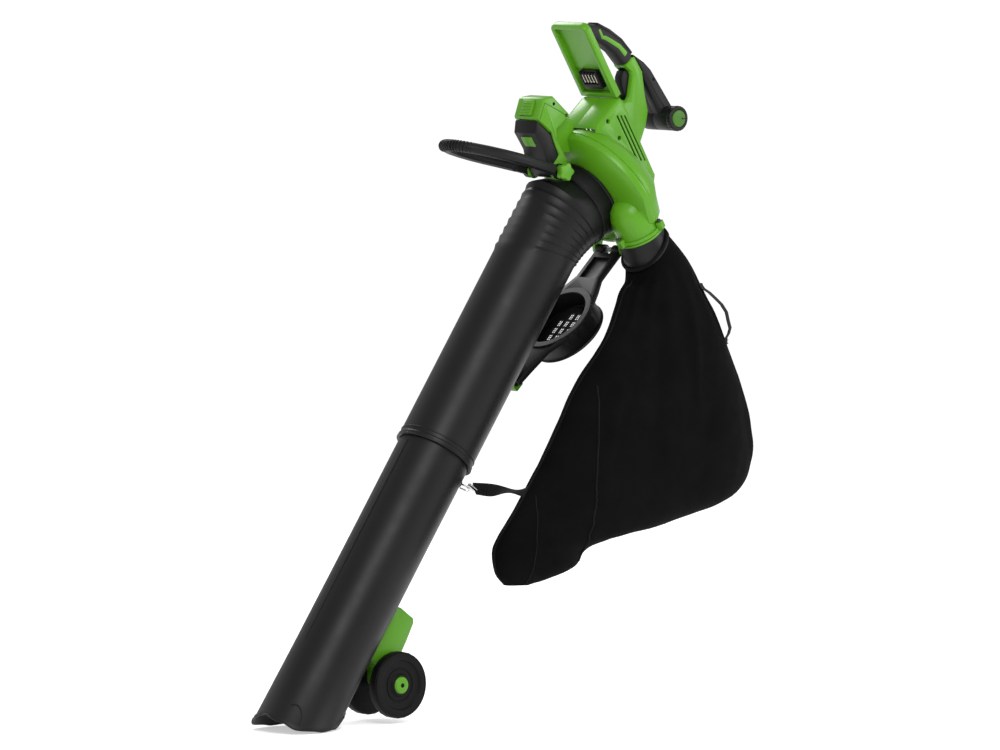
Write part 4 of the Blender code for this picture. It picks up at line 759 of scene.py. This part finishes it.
def bag_rows():
    """The sections that the cloth is drawn through: the mouth over the collar, the shoulder and the sack."""
    mouth = side_frame(NECK_END_X, NECK_END_Z, math.pi / 2 + NECK_END_TILT)
    mouth[1][3] = -OUTLET_NEAR
    rows = []
    for inset, radius in ((-0.0045, NECK_END_R + 0.0042), (0.0003, NECK_END_R + 0.0036)):
        rows.append([mouth @ Vector((radius * c, radius * s, inset)) for c, s in circle(AROUND)])
    along = Vector((math.cos(SHOULDER_LEAN), 0, math.sin(SHOULDER_LEAN)))
    rows.append([SHOULDER + along * a - Vector((0, b, 0)) for a, b in rounded_section(0.056, 0.040, 2.1)])
    for z, x, length, thickness, y in BAG_SECTIONS:
        rows.append([Vector((x + a, y - b, z)) for a, b in rounded_section(length, thickness, 2.3)])
    return rows


def ridge(x, centre, width):
    return math.exp(-(((x - centre) / width) ** 2))


def window(z, top, bottom, fade):
    """1 between two heights, falling to 0 at both over the fade."""
    return max(0.0, min(1.0, (top - z) / fade)) * max(0.0, min(1.0, (z - bottom) / fade))


# Each drawn fold's depth, x, slope of x with height, width, top, bottom and fade
NEAR_FOLDS = (
    (0.0030, 0.030, -0.02, 0.010, -0.36, -0.60, 0.08), (-0.0026, -0.020, 0.10, 0.016, -0.38, -0.66, 0.08),
    (0.0024, -0.062, 0.24, 0.013, -0.42, -0.70, 0.08), (-0.0022, 0.088, -0.22, 0.018, -0.42, -0.66, 0.06),
    (0.0022, 0.125, -0.16, 0.012, -0.44, -0.64, 0.06),
)
FAR_FOLDS = (
    (0.0028, 0.010, -0.06, 0.014, -0.37, -0.62, 0.08), (-0.0026, 0.060, -0.18, 0.018, -0.40, -0.66, 0.08),
)
FOLDS_FROM = -0.276
SMOOTH_ABOVE = -0.318


def fold_depth(p, i):
    """How far the cloth stands in or out at a point: gathers, drawn folds and slack."""
    depth = 0.0011 * math.sin(15 * math.tau * i / AROUND + 0.6) * window(p.z, -0.325, -0.450, 0.05)
    below = p.z - FOLDS_FROM
    for deep, x, slope, width, top, bottom, fade in NEAR_FOLDS if p.y < BAG_MIDDLE_Y else FAR_FOLDS:
        depth += deep * ridge(p.x, x + slope * below, width) * window(p.z, top, bottom, fade)
    depth += 0.0030 * noise.noise(Vector((p.x * 11, p.y * 6, p.z * 7)))
    depth += 0.0009 * noise.noise(Vector((p.x * 45, p.y * 20, p.z * 32)))
    return depth * min(1.0, max(0.0, (SMOOTH_ABOVE - p.z) / 0.03))


def catmull(a, b, c, d, t):
    """A smooth curve through b and c, at share t between them."""
    bend = (2 * a - 5 * b + 4 * c - d) * t * t
    return 0.5 * (2 * b + (c - a) * t + bend + (3 * b - a - 3 * c + d) * t**3)


def bag_surface():
    """Rows of points of the finished cloth, from the mouth to the tip."""
    rows = bag_rows()
    last = len(rows) - 1
    drawn = []
    for k in range(last):
        a, b, c, d = rows[max(0, k - 1)], rows[k], rows[k + 1], rows[min(last, k + 2)]
        steps = 3 if k == 0 else 9
        for j in range(steps):
            drawn.append([catmull(a[i], b[i], c[i], d[i], j / steps) for i in range(AROUND)])
    drawn.append(rows[-1])
    made = []
    for k, row in enumerate(drawn):
        middle = sum(row, Vector()) / AROUND
        above, below = drawn[max(0, k - 1)], drawn[min(len(drawn) - 1, k + 1)]
        moved = []
        for i, p in enumerate(row):
            normal = (row[(i + 1) % AROUND] - row[i - 1]).cross(below[i] - above[i])
            normal = normal.normalized() if normal.length > 1e-12 else Vector((0, 0, -1))
            if normal.dot(p - middle) < 0:
                normal = -normal
            moved.append(p + normal * (fold_depth(p, i) - CLOTH_THICK))
        made.append(moved)
    return made


def at_slope(x, slope, z, near):
    """Picks the point of a row on a slanting seam line, on the near or the far side of the bag."""
    span = range(AROUND // 2) if near else range(AROUND // 2, AROUND)

    def pick(row):
        line_x = x + slope * (sum(p.z for p in row) / AROUND - z)
        if not min(p.x for p in row) + 0.004 < line_x < max(p.x for p in row) - 0.004:
            return None
        return min(span, key=lambda i: abs(row[i].x - line_x))
    return pick


def seam(name, rows, pick, radius):
    """Binding tape sewn down the cloth, through the point that pick finds in each row."""
    points = []
    for row in rows:
        i = pick(row)
        if i is not None:
            out = row[i] - sum(row, Vector()) / AROUND
            out.z = 0
            points.append(row[i] + out.normalized() * 0.0004)
    smooth = []
    for k in range(len(points)):
        near = points[max(0, k - 2):k + 3]
        smooth.append(sum(near, Vector()) / len(near))
    return wire(name, smooth, radius, Matrix(), BINDING, sides=8)


def make_bag():
    rows = bag_surface()
    bm = bmesh.new()
    made = [[bm.verts.new(p) for p in row] for row in rows]
    strip(bm, made)
    tip = bm.verts.new(sum(rows[-1], Vector()) / AROUND + Vector((0, 0, -0.0006)))
    for i in range(AROUND):
        bm.faces.new((made[-1][i], made[-1][(i + 1) % AROUND], tip))
    bag = finish_piece("collection_bag", bm, Matrix(), CLOTH, angle=60)
    shell = bag.modifiers.new("cloth", "SOLIDIFY")
    shell.thickness = CLOTH_THICK
    shell.offset = -1
    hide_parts("bag")
    middle = sum(rows[1], Vector()) / AROUND
    hem = [p + (p - middle).normalized() * 0.0006 for p in rows[1]]
    trims = [
        seam("bag_seam_front_near", rows[FRONT_SEAM_FROM:], at_slope(*FRONT_SEAM, True), 0.0013),
        seam("bag_seam_front_far", rows[FRONT_SEAM_FROM:], at_slope(*FRONT_SEAM, False), 0.0013),
        seam("bag_seam_edge_front", rows[EDGE_SEAM_FROM:], lambda row: AROUND // 2, 0.0012),
        seam("bag_seam_edge_back", rows[EDGE_SEAM_FROM:], lambda row: 0, 0.0012),
        seam("bag_seam_flap_near", rows[FLAP_SEAM_FROM:], at_slope(*FLAP_SEAM, True), 0.0009),
        wire("bag_mouth_hem", hem, 0.0020, Matrix(), BINDING, ring=True),
    ]
    return rows


# Webbing: the grab handle at the bag's back edge, and the strap with its steel loops at the hook

HANDLE_WIDTH, HANDLE_THICK = 0.020, 0.0018
STRAP_WIDTH, STRAP_THICK = 0.0195, 0.0015
HANDLE_OUT = Vector((0.7547, -0.6561, 0))
HANDLE_ACROSS = Vector((-0.82, -0.57, 0)).normalized()
# Height, and distance off the bag's edge
HANDLE_ROUTE = (
    (-0.362, -0.0010), (-0.370, 0.0010), (-0.376, 0.0070), (-0.384, 0.0125), (-0.394, 0.0158),
    (-0.406, 0.0165), (-0.418, 0.0160), (-0.430, 0.0135), (-0.439, 0.0085), (-0.446, 0.0018),
    (-0.456, -0.0008),
)
STITCHES = {"upper": -0.366, "lower": -0.452}
STITCH_R = 0.00045
# Half width, low edge, high edge and wire radius, along the hook's Y
HOOK_LOOPS = ((0.0122, 0.0238, 0.0302, 0.0011), (0.0060, 0.0150, 0.0232, 0.0009))
LOOP_CORNER = 0.002
STRAP_START = 0.0256
STRAP_END_Z = -0.655
STRAP_TWIST = -1.05
STRAP_STEPS = 30


def edge_of(rows, z, heading):
    """The point of the bag that reaches farthest in a direction, at a height."""
    farthest = [max(row, key=lambda p: p.dot(heading)) for row in rows]
    return min(farthest, key=lambda p: abs(p.z - z))


def make_grab_handle(rows):
    line = []
    for z, off in HANDLE_ROUTE:
        p = edge_of(rows, z, HANDLE_OUT)
        line.append((Vector((p.x, p.y, z)) + HANDLE_OUT * off, HANDLE_ACROSS, HANDLE_OUT))
    handle = ribbon("bag_grab_handle", line, HANDLE_WIDTH, HANDLE_THICK, WEBBING)
    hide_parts("bag_handle")
    for name, z in STITCHES.items():
        p = edge_of(rows, z, HANDLE_OUT) + HANDLE_OUT * 0.0014
        for k in (-1, 1):
            points = [Vector((p.x, p.y, z + 0.0030 * k)) + HANDLE_ACROSS * 0.0018 * j for j in range(-4, 5)]
            wire(f"stitch_{name}_{k + 1}", points, STITCH_R, Matrix(), THREAD, sides=6)


def rounded_loop(half, low, high):
    """A rectangle of points in the hook's frame, with a curve at each corner."""
    corners = [Vector(c) for c in ((-half, low, 0), (half, low, 0), (half, high, 0), (-half, high, 0))]
    made = []
    for i, c in enumerate(corners):
        start = c + (corners[i - 1] - c).normalized() * LOOP_CORNER
        end = c + (corners[(i + 1) % 4] - c).normalized() * LOOP_CORNER
        for u in (0, 0.25, 0.5, 0.75, 1):
            made.append(start * (1 - u) ** 2 + c * (2 * u * (1 - u)) + end * u * u)
    return made


def make_hook_strap(rows):
    for k, (half, low, high, radius) in enumerate(HOOK_LOOPS):
        wire(f"hook_loop_{k}", rounded_loop(half, low, high), radius, HOOK, STEEL, ring=True)
    front = Vector((-1, 0, 0))
    start = HOOK @ Vector((0, STRAP_START, 0))
    end = edge_of(rows, STRAP_END_Z, front) + Vector((-0.0016, 0, 0))
    above, below = edge_of(rows, STRAP_END_Z + 0.010, front), edge_of(rows, STRAP_END_Z - 0.010, front)
    edge = (above - below).normalized()
    axis = (end - start).normalized()
    line = []
    for k in range(STRAP_STEPS + 1):
        t = k / STRAP_STEPS
        point = start.lerp(end, t) + Vector((0, 0, -0.0012 * math.sin(math.pi * t)))
        across = Vector((-0.35, 0, 0.94)).lerp(edge, t).normalized()
        across.rotate(Matrix.Rotation(STRAP_TWIST * math.sin(math.pi * t**1.94), 3, axis))
        line.append((point, across, across.cross(end - start)))
    strap = ribbon("bag_hook_strap", line, STRAP_WIDTH, STRAP_THICK, WEBBING)
    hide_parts("bag_strap")


# Stage

WHITE = (1, 1, 1, 1)
WORLD_LIGHT = 0.60
FLOOR_GLOW = 0.50
FLOOR_DROP = 0.002
FLOOR_HALF = 30
# Each lamp's place, aim, size and power
LAMPS = {
    "key": ((-1.9, -2.3, 1.6), (-0.2, 0, -0.5), 1.6, 62),
    "fill": ((1.9, -2.2, 0.6), (-0.1, 0, -0.5), 1.8, 34),
    "rim": ((0.6, 2.4, 1.6), (-0.2, 0, -0.4), 1.4, 40),
}


def make_lamps():
    for name, (spot, aim, size, power) in LAMPS.items():
        lamp = bpy.data.lights.new(name, "AREA")
        lamp.shape = "DISK"
        lamp.size = size
        lamp.energy = power
        obj = bpy.data.objects.new(name, lamp)
        bpy.context.scene.collection.objects.link(obj)
        obj.location = spot
        obj.rotation_euler = (Vector(aim) - Vector(spot)).to_track_quat("-Z", "Y").to_euler()


def make_world():
    """White where the camera looks at it, and a softer light on the object."""
    world = bpy.data.worlds.new("studio")
    bpy.context.scene.world = world
    world.use_nodes = True
    tree = world.node_tree
    tree.nodes.clear()
    white = place(tree, "ShaderNodeBackground", Color=WHITE, Strength=1.0)
    light = place(tree, "ShaderNodeBackground", Color=WHITE, Strength=WORLD_LIGHT)
    path = tree.nodes.new("ShaderNodeLightPath")
    seen = larger(tree, path.outputs["Is Camera Ray"], path.outputs["Is Transmission Ray"])
    out = tree.nodes.new("ShaderNodeOutputWorld")
    surface = mixed(tree, seen, light.outputs["Background"], white.outputs["Background"])
    tree.links.new(surface, out.inputs["Surface"])


def make_floor():
    """A pale floor that glows where it is looked at, and bounces plain light elsewhere."""
    bm = bmesh.new()
    bmesh.ops.create_grid(bm, x_segments=2, y_segments=2, size=FLOOR_HALF)
    mesh = bpy.data.meshes.new("floor")
    bm.to_mesh(mesh)
    bm.free()
    floor = bpy.data.objects.new("floor", mesh)
    bpy.context.scene.collection.objects.link(floor)
    floor.location = (0, 0, CAD_BOX[0][2] - FLOOR_DROP)
    pale, tree, shader = blank("pale_floor")
    shader.inputs["Base Color"].default_value = (0.9, 0.9, 0.9, 1)
    shader.inputs["Roughness"].default_value = 0.9
    shader.inputs["Specular IOR Level"].default_value = 0.0
    plain = shader.outputs["BSDF"]
    glow = place(tree, "ShaderNodeEmission", Color=WHITE, Strength=FLOOR_GLOW)
    lit = tree.nodes.new("ShaderNodeAddShader")
    tree.links.new(plain, lit.inputs[0])
    tree.links.new(glow.outputs["Emission"], lit.inputs[1])
    path = tree.nodes.new("ShaderNodeLightPath")
    seen = path.outputs["Is Camera Ray"]
    for ray in ("Is Glossy Ray", "Is Transmission Ray"):
        seen = larger(tree, seen, path.outputs[ray])
    surface = mixed(tree, seen, plain, lit.outputs["Shader"])
    tree.links.new(surface, tree.nodes["Material Output"].inputs["Surface"])
    mesh.materials.append(pale)


# Camera

VIEW_AZIMUTH = math.radians(-41)
VIEW_ELEVATION = math.radians(4.5)
VIEW_DISTANCE = 14.0
VIEW_WIDTH = 1.49925
SENSOR = 36
# The point looked at, along the view's right, up and back directions
AIM_RIGHT, AIM_UP, AIM_BACK = -0.16642, -0.50225, 0.148


def make_camera():
    flat = math.cos(VIEW_ELEVATION)
    back = Vector((math.sin(VIEW_AZIMUTH) * flat, -math.cos(VIEW_AZIMUTH) * flat, math.sin(VIEW_ELEVATION)))
    right = Vector((math.cos(VIEW_AZIMUTH), math.sin(VIEW_AZIMUTH), 0))
    up = back.cross(right)
    target = right * AIM_RIGHT + up * AIM_UP + back * AIM_BACK
    camera = bpy.data.cameras.new("camera")
    camera.sensor_width = SENSOR
    camera.lens = SENSOR * VIEW_DISTANCE / VIEW_WIDTH
    camera.clip_end = 100
    obj = bpy.data.objects.new("camera", camera)
    bpy.context.scene.collection.objects.link(obj)
    turn = Matrix((right, up, back)).transposed().to_4x4()
    obj.matrix_world = Matrix.Translation(target + back * VIEW_DISTANCE) @ turn
    bpy.context.scene.camera = obj


dress_nodes()
make_tube_details()
make_scroll_details()
make_terminal_ribs()
make_side_details()
make_dial_details()
make_nose_details()
make_loop_details()
make_wheel_details()
make_cover_details()
cloth = make_bag()
make_grab_handle(cloth)
make_hook_strap(cloth)
make_world()
make_floor()
make_lamps()
make_camera()
bpy.context.scene.view_settings.view_transform = "Standard"
